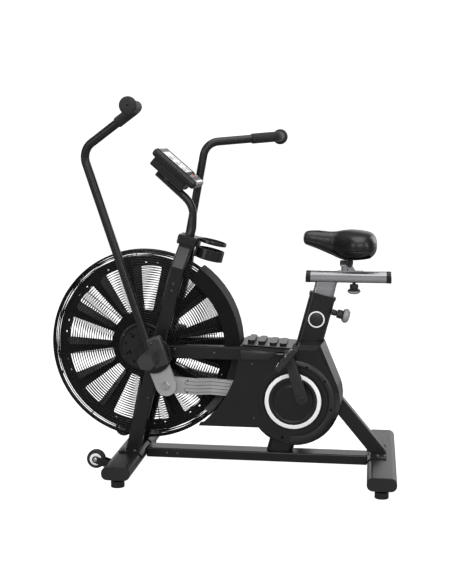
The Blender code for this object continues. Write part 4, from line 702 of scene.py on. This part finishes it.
# ---------------------------------------------------------------- cranks and pedals
def make_crank_details(name, side):
    """The disc's white ring, dish and lip, and the forged crank lever with its pedal axle."""
    axis = along((CRANK.x, 0, CRANK.z), (0, side, 0))
    lathe(f"{name}_disc_ring", [(0.0845, 0.1288), (0.0845, 0.1296), (0.0852, 0.1301), (0.0972, 0.1301), (0.098,
        0.1296), (0.098, 0.1288), (0.0845, 0.1288)], axis, 96, PALE, "crankset", "cover_plastic", 35)
    lathe(f"{name}_disc_dish", [(0.0, 0.1243), (0.0, 0.1268), (0.048, 0.1268), (0.053, 0.1262), (0.056, 0.1246),
        (0.0575, 0.1243), (0.0, 0.124)], axis, 72, SHELL, "crankset", "cover_plastic", 30)
    lathe(f"{name}_disc_lip", [(0.068, 0.124), (0.069, 0.1262), (0.0715, 0.1284), (0.076, 0.1294), (0.083,
        0.1296), (0.0846, 0.129), (0.0846, 0.127), (0.072, 0.1238), (0.068, 0.124)], axis, 96, SHELL,
        "crankset", "cover_plastic", 30)
    hub = crank_point(side, BIG_END_RADIUS, BIG_END_ANGLE)
    eye = crank_point(side, CRANK_LENGTH, PEDAL_ANGLE)
    run = eye - hub
    length = run.length
    place = Matrix.Translation(hub) @ Matrix.Rotation(atan2(run.x, run.z), 4, "Y")
    arm = blank()
    outline = [(0.0212 * cos(t), 0.0212 * sin(t)) for t in (pi + pi * k / 14 for k in range(15))]
    outline += [(0.0168 * cos(t), length + 0.0168 * sin(t)) for t in (pi * k / 12 for k in range(13))]
    rows = []
    for y, shrink in ((0.1345, 0.0015), (0.136, 0.0), (0.15, 0.0), (0.1518, 0.0009), (0.1526, 0.003)):
        rows.append([arm.verts.new(place @ Vector((x - copysign(shrink, x), side * y,
            z + (shrink if z < 0 else -shrink if z > length else 0.0)))) for x, z in outline])
    loft(arm, rows)
    turned(arm, [(0.0, 0.1244), (0.0124, 0.1244), (0.0124, 0.136), (0.0, 0.136)], along(hub, (0, side, 0)), 28)
    turned(arm, [(0.0, 0.15), (0.006, 0.15), (0.006, 0.239), (0.0, 0.239)], along(eye, (0, side, 0)), 20)
    lever = piece(f"{name}_crank_lever", arm, CAST, "crankset", "dark_casting", 32)
    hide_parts(f"{name}_crank_arm")
    trim = blank()
    turned(trim, [(0.0135, 0.152), (0.0142, 0.1532), (0.015, 0.1532), (0.0157, 0.152), (0.0135, 0.152)],
        along(hub, (0, side, 0)), 40)
    bolt(trim, hub + Vector((0, side * 0.1524, 0)), (0, side, 0), 0.0085, 0.003)
    for dz in (0.028, 0.034):
        bolt(trim, place @ Vector((0, side * 0.1524, dz)), (0, side, 0), 0.002, 0.0012)
    piece(f"{name}_crank_trim", trim, CAST, "crankset", "steel", 35)


def make_pedal(name, side):
    """A platform pedal: moulded body, toothed metal side plates and a dust cap."""
    centre = Vector(JOINTS[f"{name}_pedal_turn"]["pos_m"])
    place = Matrix.Translation((centre.x, 0, centre.z)) @ Matrix.Rotation(-radians(50.0), 4, "Y")
    core = blank()
    low, high = sorted((side * 0.1625, side * 0.24))
    brick(core, (-0.029, low, -0.0105), (-0.015, high, 0.0105), place)
    brick(core, (0.015, low, -0.0105), (0.029, high, 0.0105), place)
    for k in range(4):
        y = side * (0.165 + 0.022 * k)
        a, b = sorted((y, y + side * 0.007))
        brick(core, (-0.04, a, -0.0085), (0.04, b, 0.0085), place)
    turned(core, [(0.0065, 0.156), (0.0125, 0.156), (0.0125, 0.168), (0.0115, 0.17), (0.0115, 0.238), (0.01,
        0.2405), (0.0, 0.241)], place @ along((0, 0, 0), (0, side, 0)), 28)
    body = piece(f"{name}_pedal_body", core, SHELL, f"{name}_pedal_body", "dark_casting", 30, 0.0015)
    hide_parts(f"{name}_pedal")
    cage = blank()
    teeth = 11
    for edge in (-1, 1):
        x0, x1 = sorted((edge * 0.0458, edge * 0.0474))
        rows = []
        for k in range(teeth * 2 + 1):
            y = side * (0.156 + 0.0885 * k / (teeth * 2))
            top = 0.0138 if k % 2 else 0.0106
            rows.append([cage.verts.new(place @ Vector((x, y, z))) for x, z in ((x0, -0.0078), (x1, -0.0078),
                (x1, top), (x0, top))])
        loft(cage, rows)
    for k, y in enumerate((0.156, 0.2428)):
        low, high = sorted((side * y, side * (y + 0.0016)))
        brick(cage, (-0.0458, low, -0.0078), (0.0458, high, 0.0085), place)
    piece(f"{name}_pedal_cage", cage, CAST, f"{name}_pedal_body", "dark_casting", 25, 0.0004)
    studs = blank()
    for x in (-0.0385, 0.0385):
        for y in (0.172, 0.2, 0.228):
            bolt(studs, place @ Vector((x, side * y, 0.0085)), place.to_3x3() @ Vector((0, 0, 1)), 0.0028, 0.003)
    piece(f"{name}_pedal_studs", studs, STEEL, f"{name}_pedal_body", "steel", 35)


# ---------------------------------------------------------------- covers
def make_cover_details(name, side):
    """The ring, band, panel and screws on a cover, painted shade for its screw wells and slot, a painted highlight
    on the slot's lip, and the shroud between cover and cage.
    """
    axis = along((CRANK.x, 0, CRANK.z), (0, side, 0))
    face = COVER_FACE
    lathe(f"{name}_cover_ring", [(0.1035, face - 0.001), (0.1035, face + 0.0016), (0.1048, face + 0.0026),
        (0.1205, face + 0.0026), (0.1222, face + 0.0014), (0.1224, face - 0.001), (0.1035, face - 0.001)], axis,
        96, SHELL, "frame", "cover_plastic", 35)
    band = blank()
    section = ((0.1236, -0.002), (0.1236, 0.003), (0.1252, 0.0052), (0.13, 0.0066), (0.136, 0.0062), (0.141,
        0.004), (0.145, 0.0002), (0.1462, -0.002))
    start, end = radians(-100), radians(106)
    steps = 72
    rows = []
    for k in range(steps + 1):
        t = start + (end - start) * k / steps
        fade = min(1.0, k / 14, (steps - k) / 8)
        fade = fade * fade * (3 - 2 * fade)
        rows.append([band.verts.new(around(BAND_CENTRE, r, t,
            side * (face + (h if h < 0 else h * fade - 0.0003)))) for r, h in section])
    loft(band, rows)
    piece(f"{name}_cover_band", band, PANEL, "frame", "cover_plastic", 50)
    # Dark discs on the band: painted shade where its screw holes would be.
    well_shades = blank()
    for x, z in ((0.312, 0.404), (0.38, 0.359), (0.3935, 0.256), (0.228, 0.149)):
        away = (Vector((x, 0, z)) - BAND_CENTRE).normalized() * 0.133
        turned(well_shades, [(0.0, 0.0), (0.0, 0.0016), (0.0034, 0.0016), (0.0042, 0.0008), (0.0042, 0.0), (0.0, 0.0)],
            along(BAND_CENTRE + away + Vector((0, side * (face + 0.0054), 0)), (0, side, 0)), 20)
    piece(f"{name}_cover_screw_well_shade", well_shades, PAINTED_SHADE, "frame", "cover_plastic", 35)
    panel = blank()
    rows = []
    for inset, h in ((0.0, -0.002), (0.0, 0.0014), (0.002, 0.003), (0.007, 0.0042), (0.012, 0.0046)):
        loop = [(0.08 + inset, 0.4575 - inset), (0.14, 0.4562 - inset), (0.212 - inset * 1.6,
            0.45 - inset * 0.8), (0.197 - inset * 0.9, 0.437), (0.181 - inset * 0.7, 0.4235 + inset), (0.13,
            0.4225 + inset), (0.08 + inset, 0.4225 + inset)]
        rows.append([panel.verts.new((x, side * (face + h), z)) for x, z in loop])
    loft(panel, rows)
    piece(f"{name}_cover_panel", panel, PANEL, "frame", "cover_plastic", 60)
    # A dark strip on the cover: painted shade for the slot's groove.
    slot = blank()
    low, high = sorted((side * (face - 0.001), side * (face + 0.0004)))
    brick(slot, (0.203, low, 0.447), (0.24, high, 0.4535))
    piece(f"{name}_cover_slot_shade", slot, PAINTED_SHADE, "frame", "cover_plastic", 30)
    # A grey bar under the slot: a painted highlight along the slot's lower lip.
    lip = blank()
    sweep(lip, [(0.202, side * (face + 0.0006), 0.4462), (0.229, side * (face + 0.0006), 0.4462), (0.242,
        side * (face + 0.0006), 0.4476)], 0.0014, 8)
    piece(f"{name}_cover_lip_highlight", lip, GREY_PLASTIC, "frame", "cover_plastic", 50)
    shroud = blank()
    rows = []
    for k in range(30):
        t = radians(-3.5 - 43.5 * k / 29)
        rows.append([shroud.verts.new(around(CAGE_ARC_CENTRE, r, t, side * y)) for r, y in ((0.323, 0.056),
            (0.3255, 0.0585), (0.349, 0.06), (0.3524, 0.064), (0.3524, 0.076), (0.3512, 0.076), (0.3512,
            0.0648), (0.3484, 0.0612), (0.325, 0.0597), (0.3222, 0.0566))])
    loft(shroud, rows)
    piece(f"{name}_cage_shroud", shroud, WIRE, "frame", "cover_plastic", 50)
    screws = blank()
    for x, z in ((0.121, 0.409), (0.128, 0.215)):
        bolt(screws, (x, side * (face - 0.0005), z), (0, side, 0), 0.0038, 0.002)
    piece(f"{name}_cover_screws", screws, BOLT, "frame", "steel", 35)


# ---------------------------------------------------------------- console
def make_console():
    """Screen, bezel, keys and digits on the housing's face."""
    place = leaned(-0.157, 1.083, CONSOLE_TILT)
    half, wide, thick = 0.096, 0.0875, 0.015
    bezel = blank()
    outer = [(-half + 0.007, -wide + 0.007), (half - 0.05, -wide + 0.007), (half - 0.05, wide - 0.007),
        (-half + 0.007, wide - 0.007)]
    inner = [(-half + 0.024, -wide + 0.016), (half - 0.058, -wide + 0.016), (half - 0.058, wide - 0.016),
        (-half + 0.024, wide - 0.016)]
    rows = [[bezel.verts.new(place @ Vector((x, y, h))) for x, y in loop] for loop, h in ((outer,
        thick - 0.0004), (outer, thick + 0.0012), (inner, thick + 0.0012), (inner, thick - 0.0014))]
    for a, b in zip(rows, rows[1:]):
        ring_faces(bezel, a, b)
    ring_faces(bezel, rows[-1], rows[0])
    piece("console_bezel", bezel, SHELL, "console", "cover_plastic", 30, 0.0006)
    block("console_lens", (-half + 0.0245, -wide + 0.0165, thick - 0.0014), (half - 0.0585, wide - 0.0165,
        thick - 0.0004), place, GLASS, "console", "cover_plastic", 30, 0.0003)
    digits = blank()
    segments = {"0": "abcdef", "1": "bc", "2": "abged", "3": "abgcd", "4": "fgbc", "5": "afgcd", "6": "afgedc",
        "7": "abc", "8": "abcdefg", "9": "abcdfg"}
    strokes = {"a": (0, 1, 1, 1), "b": (1, 0.5, 1, 1), "c": (1, 0, 1, 0.5), "d": (0, 0, 1, 0), "e": (0, 0, 0,
        0.5), "f": (0, 0.5, 0, 1), "g": (0, 0.5, 1, 0.5)}
    rows_of_text = (("12", "0348"), ("24", "0186"), ("90", "0075"))
    for line, (short, tall) in enumerate(rows_of_text):
        for start, text in ((-0.052, tall), (0.022, short)):
            for n, mark in enumerate(text):
                for stroke in segments[mark]:
                    ax, ay, bx, by = strokes[stroke]
                    across = start + n * 0.0125
                    down = -0.046 + line * 0.03
                    u0, u1 = across + ax * 0.0075, across + bx * 0.0075
                    v0, v1 = down - ay * 0.015 + 0.015, down - by * 0.015 + 0.015
                    lo = (min(v0, v1) - 0.0007, min(u0, u1) - 0.0007, thick - 0.0006)
                    hi = (max(v0, v1) + 0.0007, max(u0, u1) + 0.0007, thick - 0.0002)
                    brick(digits, lo, hi, place)
    piece("console_digits", digits, SEGMENT, "console", "cover_plastic", 30)
    keys = blank()
    for y in (-0.055, -0.03, 0.03, 0.055):
        turned(keys, [(0.0, -0.002), (0.0066, -0.002), (0.0066, 0.0012), (0.0058, 0.002), (0.0, 0.0022)],
            place @ Matrix.Translation((half - 0.036, y, thick)), 28)
    piece("console_keys", keys, GREY_PLASTIC, "console", "cover_plastic", 35)
    block("console_end_trim", (-half - 0.0002, -wide + 0.018, -0.008), (-half + 0.012, wide - 0.018, 0.0162),
        place, PALE, "console", "cover_plastic", 30, 0.0025, 3)
    block("console_foot_strip", (half - 0.014, -wide + 0.03, thick - 0.001), (half - 0.006, wide - 0.03,
        thick + 0.0006), place, PALE, "console", "cover_plastic", 30, 0.0003)
    box_low, box_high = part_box("console_button")
    rim = blank()
    middle = (box_low + box_high) / 2
    normal = Vector((sin(CONSOLE_TILT), 0, cos(CONSOLE_TILT)))
    seat = middle - normal * (middle - (place @ Vector((half - 0.036, 0, thick)))).dot(normal)
    turned(rim, [(0.009, -0.001), (0.0112, -0.001), (0.0112, 0.0012), (0.0104, 0.0018), (0.009, 0.001), (0.009,
        -0.001)], along(seat, normal), 40)
    piece("console_button_rim", rim, GREY_PLASTIC, "console", "cover_plastic", 35)


# ---------------------------------------------------------------- saddle
SADDLE_NOSE = 0.2855
SADDLE_TAIL = 0.5455
SADDLE_TOP = ((0.0, 0.865), (0.07, 0.8685), (0.16, 0.8685), (0.29, 0.8655), (0.42, 0.864), (0.56, 0.868), (0.7,
    0.87), (0.82, 0.869), (0.92, 0.864), (1.0, 0.854))
SADDLE_LOW = ((0.0, 0.8165), (0.08, 0.8135), (0.18, 0.807), (0.3, 0.795), (0.42, 0.7815), (0.52, 0.77), (0.6,
    0.7655), (0.72, 0.765), (0.84, 0.768), (0.93, 0.774), (1.0, 0.783))


def curve_at(table, share):
    """A smooth line through (share, value) pairs."""
    last = len(table) - 2
    n = next((i for i, pair in enumerate(table[1:]) if share <= pair[0]), last)
    (sa, a), (sb, b) = table[n], table[n + 1]
    before = table[max(0, n - 1)]
    after = table[min(len(table) - 1, n + 2)]
    slope_a = (b - before[1]) / (sb - before[0])
    slope_b = (after[1] - a) / (after[0] - sa)
    run = sb - sa
    t = min(1.0, max(0.0, (share - sa) / run))
    return ((2 * t ** 3 - 3 * t ** 2 + 1) * a + (t ** 3 - 2 * t ** 2 + t) * run * slope_a
            + (3 * t ** 2 - 2 * t ** 3) * b + (t ** 3 - t ** 2) * run * slope_b)


def saddle_half(share):
    """Half of the saddle's width."""
    wing = min(1.0, max(0.0, (share - 0.34) / 0.4))
    return 0.034 + 0.008 * share + 0.066 * wing * wing * (3 - 2 * wing)


def end_round(share, nose, tail, power=2.3):
    """How an end closes: 0 at the tip, 1 where the full section begins."""
    reach = min(1.0, share / nose, (1.0 - share) / tail)
    return max(0.0, 1 - (1 - max(0.0, reach)) ** power) ** (1 / power)


def saddle_point(share, angle, grow=0.0):
    """A point on the saddle's skin."""
    width = saddle_half(share) * end_round(share, 0.11, 0.26, 2.6) + grow
    top, low = curve_at(SADDLE_TOP, share), curve_at(SADDLE_LOW, share)
    middle = (top + low) / 2
    half = (top - low) / 2 * end_round(share, 0.065, 0.1, 2.7) + grow
    across = copysign(abs(cos(angle)) ** 0.8, cos(angle))
    rise = copysign(abs(sin(angle)) ** 0.85, sin(angle))
    z = middle + half * rise
    if rise > 0:
        inside = sin(pi * min(1.0, max(0.0, (share - 0.12) / 0.8)))
        z -= 0.0036 * exp(-((width * across) / 0.01) ** 2) * inside * rise
    waist = exp(-((share - 0.4) / 0.07) ** 2) * exp(-((rise + 0.1) / 0.7) ** 2)
    return Vector((SADDLE_NOSE + (SADDLE_TAIL - SADDLE_NOSE) * share, (width - 0.004 * waist) * across, z))


def make_saddle():
    """A gel saddle: inflated cover over a plain shell, with sewn seams."""
    stations, ring = 40, 56
    shape = blank()
    rows = []
    for i in range(stations + 1):
        share = 0.5 - 0.5 * cos(pi * i / stations)
        share = min(0.997, max(0.003, share))
        rows.append([shape.verts.new(saddle_point(share, 2 * pi * k / ring, -0.0022)) for k in range(ring)])
    loft(shape, rows)
    pad = piece("saddle_cover", shape, VINYL, "saddle_slide", "vinyl", 180)
    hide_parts("saddle")
    inflate(pad, 0.0055, 0.0045)
    piping = blank()
    for side in (-1, 1):
        angle = radians(-14)
        path = []
        for k in range(48):
            share = 0.035 + 0.93 * k / 47
            point = saddle_point(share, angle if side > 0 else pi - angle, 0.0006)
            path.append(point)
        sweep(piping, path, 0.0016, 8)
    piece("saddle_seam_piping", piping, VINYL, "saddle_slide", "vinyl", 60)
    thread = blank()
    for side in (-1, 1):
        for k in range(0, 92):
            share = 0.05 + 0.9 * k / 91
            angle = radians(-6)
            a = saddle_point(share, angle if side > 0 else pi - angle, 0.0003)
            b = saddle_point(share + 0.0052, angle if side > 0 else pi - angle, 0.0003)
            sweep(thread, [a, a.lerp(b, 0.5) + Vector((0, side * 0.0003, 0)), b], 0.00042, 5)
    piece("saddle_stitches", thread, STITCH, "saddle_slide", "vinyl", 60)
    base = blank()
    outline = []
    for k in range(28):
        share = 0.06 + 0.86 * k / 27
        outline.append((SADDLE_NOSE + (SADDLE_TAIL - SADDLE_NOSE) * share, saddle_half(share) * 0.72))
    rows = []
    for x, width in outline:
        share = (x - SADDLE_NOSE) / (SADDLE_TAIL - SADDLE_NOSE)
        z = curve_at(SADDLE_LOW, share) + 0.0035
        rows.append([base.verts.new((x, width * t, z + 0.004 * abs(t) ** 3 + d)) for t, d in ((-1, 0), (-0.6,
            0), (0.6, 0), (1, 0), (1, 0.003), (-1, 0.003))])
    loft(base, rows)
    piece("saddle_base_shell", base, SHELL, "saddle_slide", "vinyl", 50, 0.0008)


def inflate(obj, voxel, cap):
    """Pump the pad up as cloth, then keep each point near where it began."""
    bpy.context.view_layer.objects.active = obj
    obj.select_set(True)
    remesh = obj.modifiers.new("remesh", "REMESH")
    remesh.mode = "VOXEL"
    remesh.voxel_size = voxel
    bpy.ops.object.modifier_apply(modifier="remesh")
    start = [v.co.copy() for v in obj.data.vertices]
    cloth = obj.modifiers.new("cloth", "CLOTH")
    cloth.settings.use_pressure = True
    cloth.settings.uniform_pressure_force = 4.0
    cloth.settings.effector_weights.gravity = 0.0
    cloth.settings.quality = 5
    cloth.point_cache.frame_start = 1
    cloth.point_cache.frame_end = 20
    scene = bpy.context.scene
    for number in range(1, 21):
        scene.frame_set(number)
    bpy.ops.object.modifier_apply(modifier="cloth")
    for vert, home in zip(obj.data.vertices, start):
        move = vert.co - home
        if move.length > cap:
            vert.co = home + move.normalized() * cap
    scene.frame_set(1)
    finer = obj.modifiers.new("finer", "SUBSURF")
    finer.levels = 1
    finer.render_levels = 1
    bpy.ops.object.modifier_apply(modifier="finer")
    for face in obj.data.polygons:
        face.use_smooth = True
    obj.data.set_sharp_from_angle(angle=radians(180))
    obj.select_set(False)


# ---------------------------------------------------------------- seat parts
def knob_ribs(body, axis, count, line, radius):
    """Grip ribs round a knob, along (radius, height) points."""
    ribs = blank()
    for t in turns(count):
        spot = axis @ Matrix.Rotation(t, 4, "Z")
        sweep(ribs, [spot @ Vector((r, 0, h)) for r, h in line], radius, 6)
    piece(f"{body}_ribs", ribs, CAST, body, "dark_casting", 50)


def make_seat_details():
    """Slider end caps, the tube's plain badge ring, knob ribs and bolts."""
    caps = blank()
    z = 0.7057
    for x0, x1, slant in ((0.2975, 0.315, -0.006), (0.579, 0.5965, 0.006)):
        rows = []
        for x, lean in ((x0, slant if slant < 0 else 0.0), (x1, 0.0 if slant < 0 else slant)):
            row = []
            for t in turns(40):
                dy = copysign(abs(cos(t)) ** 0.55, cos(t)) * 0.0228
                dz = copysign(abs(sin(t)) ** 0.55, sin(t)) * 0.0208
                shift = -lean * dz / 0.0208
                row.append(caps.verts.new((min(0.5967, max(0.2973, x + shift * 0.5)), dy, z + dz)))
            rows.append(row)
        ring_faces(caps, rows[0], rows[1])
        caps.faces.new(rows[0])
        caps.faces.new(rows[1])
    piece("slider_end_caps", caps, SHELL, "saddle_mast", "rubber", 40, 0.0012)
    seat = leaned(CRANK.x, CRANK.z, SEAT_LEAN)
    ring = [(0.0248, -0.001), (0.0248, 0.0008), (0.0254, 0.0012), (0.0286, 0.0012), (0.0292, 0.0008), (0.0292,
        -0.001), (0.0248, -0.001)]
    disc = [(0.0, -0.001), (0.0, 0.0006), (0.0215, 0.0006), (0.0225, 0.0002), (0.0225, -0.001), (0.0, -0.001)]
    for label, profile, steps, mat in (("rings", ring, 64, PALE), ("discs", disc, 48, PANEL)):
        badge = blank()
        for side in (-1, 1):
            turned(badge, profile, along(seat @ Vector((0.0015, side * 0.0226, 0.2815)), (0, side, 0)), steps)
        piece(f"seat_tube_{label}", badge, mat, "frame", "cover_plastic", 35)
    axis = seat @ Matrix.Translation((PULL_KNOB_OUT, 0, PULL_KNOB_UP)) @ Matrix.Rotation(pi / 2, 4, "Y")
    knob_ribs("pull_knob", axis, 20, ((0.0146, 0.0205), (0.0148, 0.028), (0.0149, 0.035)), 0.001)
    lathe("pull_knob_sleeve", [(0.0061, -0.0008), (0.0108, -0.0008), (0.0108, 0.015), (0.0098, 0.0165), (0.0061,
        0.0165), (0.0061, -0.0008)], axis, 32, CAST, "frame", "dark_casting", 35)
    lathe("pull_knob_cap", [(0.0, 0.042), (0.0225, 0.042), (0.0255, 0.0462), (0.026, 0.05), (0.025, 0.0552),
        (0.0215, 0.06), (0.016, 0.0634), (0.0, 0.0646)], axis, 48, GREY_PLASTIC, "pull_knob", "dark_casting",
        35)
    under = Matrix.Translation(CLAMP_KNOB)
    knob_ribs("clamp_knob", under, 16, ((0.0142, -0.008), (0.0143, -0.013), (0.0144, -0.019)), 0.0009)
    lathe("clamp_knob_cap", [(0.0, -0.0407), (0.01, -0.0404), (0.018, -0.038), (0.0232, -0.0335), (0.023,
        -0.0296), (0.0, -0.0296)], under, 40, GREY_PLASTIC, "clamp_knob", "dark_casting", 35)
    block("saddle_clamp_block", (0.4165, -0.0212, 0.7495), (0.458, 0.0212, 0.763), None, CAST, "saddle_slide",
        "dark_casting", 30, 0.003, 3)
    clamp = blank()
    head = Vector((0.45, 0, 0.7545))
    for side in (-1, 1):
        turned(clamp, [(0.0, 0.0), (0.0128, 0.0), (0.0128, 0.003), (0.0112, 0.0045), (0.0, 0.0045)],
            along(head + Vector((0, side * 0.0205, 0)), (0, side, 0)), 32)
        bolt(clamp, head + Vector((0, side * 0.0248, 0)), (0, side, 0), 0.0065, 0.0035)
    piece("saddle_clamp_plates", clamp, CAST, "saddle_slide", "dark_casting", 35)


# ---------------------------------------------------------------- floor parts
def make_floor_details():
    """Transport wheel hubs and treads, and the frame's visible bolts."""
    for name, side in SIDES:
        at = Vector(JOINTS[f"{name}_wheel_roll"]["pos_m"])
        hub = blank()
        for face in (-1, 1):
            turned(hub, [(0.0056, 0.0095), (0.0056, 0.0113), (0.015, 0.0117), (0.0205, 0.0117), (0.0212, 0.011),
                (0.0212, 0.0095), (0.0056, 0.0095)], along(at, (0, face, 0)), 40)
        piece(f"{name}_wheel_hub", hub, PALE, f"{name}_wheel", "rubber", 35)
        tread = blank()
        for t in turns(28):
            spot = Matrix.Translation(at) @ Matrix.Rotation(t, 4, "Y")
            brick(tread, (-0.0014, -0.0078, 0.0318), (0.0014, 0.0078, 0.03262), spot)
        piece(f"{name}_wheel_tread", tread, RUBBER, f"{name}_wheel", "rubber", 30)
        pins = blank()
        bolt(pins, at + Vector((0, side * 0.0148, 0)), (0, side, 0), 0.0078, 0.0045)
        bolt(pins, at + Vector((0, -side * 0.0148, 0)), (0, -side, 0), 0.0078, 0.0045)
        piece(f"{name}_wheel_pin_heads", pins, STEEL, "frame", "steel", 35)
    bolts = blank()
    for side in (-1, 1):
        out, lean = (0, side, 0), leaned(-0.3135, 0.076, POST_LEAN)
        for x, y in ((0.56, 0.066), (0.584, 0.066), (-0.346, 0.106), (-0.3, 0.116)):
            bolt(bolts, (x, side * y, 0.0803), (0, 0, 1), 0.0068, 0.005)
        for x, h, radius, height in ((0.01, 0.205, 0.0048, 0.0028), (0.01, 0.3, 0.0048, 0.0028), (0.0, 0.6,
                0.0052, 0.003), (0.0, 0.625, 0.0052, 0.003)):
            bolt(bolts, lean @ Vector((x, side * 0.1019, h)), out, radius, height)
        for x, y, z, radius, height in ((-0.196, 0.1003, 0.4505, 0.0055, 0.0032), (-0.156, 0.1003, 0.4505,
                0.0055, 0.0032), (-0.015, 0.1003, 0.4405, 0.0048, 0.0028), (-0.2, 0.0358, 0.054, 0.005, 0.0026),
                (-0.16, 0.0358, 0.054, 0.005, 0.0026)):
            bolt(bolts, (x, side * y, z), out, radius, height)
        for k in range(6):
            t = 2 * pi * (k + 0.5) / 6
            bolt(bolts, around(FAN, 0.08, t, side * 0.0588), (0, side, 0), 0.004, 0.0022)
    piece("frame_bolts", bolts, BOLT, "frame", "steel", 35)
    mast = blank()
    lug = HINGE + Vector((sin(CONSOLE_TILT), 0, cos(CONSOLE_TILT))) * 0.004
    for side in (-1, 1):
        bolt(mast, lug + Vector((0, side * 0.0198, 0)), (0, side, 0), 0.0085, 0.0045)
    piece("console_hinge_screws", mast, BOLT, "frame", "steel", 35)


# ---------------------------------------------------------------- assembly
paint(POWDER, "front_floor_beam", "rear_floor_beam", "base_rail", "seat_tube", "rear_strut", "post_collar",
    "console_mast", *both("front_post"), *both("side_rail"))
paint(BAND, "guard_band")
paint(SHELL, *both("cover"), "top_cover", "console_housing", "bottle_holder", *both("crank_disc"))
paint(CAST, "crank_pulley", *both("crank_arm"), *both("foot_peg"), "seat_pull_knob", "saddle_clamp_knob")
paint(GREY, *both("link_arm"), *both("connecting_rod"))
paint(SILVER, "seat_post", "saddle_carriage")
paint(STEEL, "crankshaft", "fan_axle", "fan_pulley", *both("big_end_bearing"))
paint(RUBBER, "drive_belt", *both("transport_wheel"), *(f"{e}_{n}_{p}" for e in ("front", "rear") for n,
    _ in SIDES for p in ("end_cap", "foot")))
paint(RED, "console_button")

make_studio()
make_fan_wheel()
for side_name, side_sign in SIDES:
    make_cage(side_name, side_sign)
    make_arm(side_name, side_sign)
    make_link_details(side_name, side_sign)
    make_peg_details(side_name, side_sign)
    make_crank_details(side_name, side_sign)
    make_pedal(side_name, side_sign)
    make_cover_details(side_name, side_sign)
make_console()
make_saddle()
make_seat_details()
make_floor_details()

bpy.context.view_layer.update()
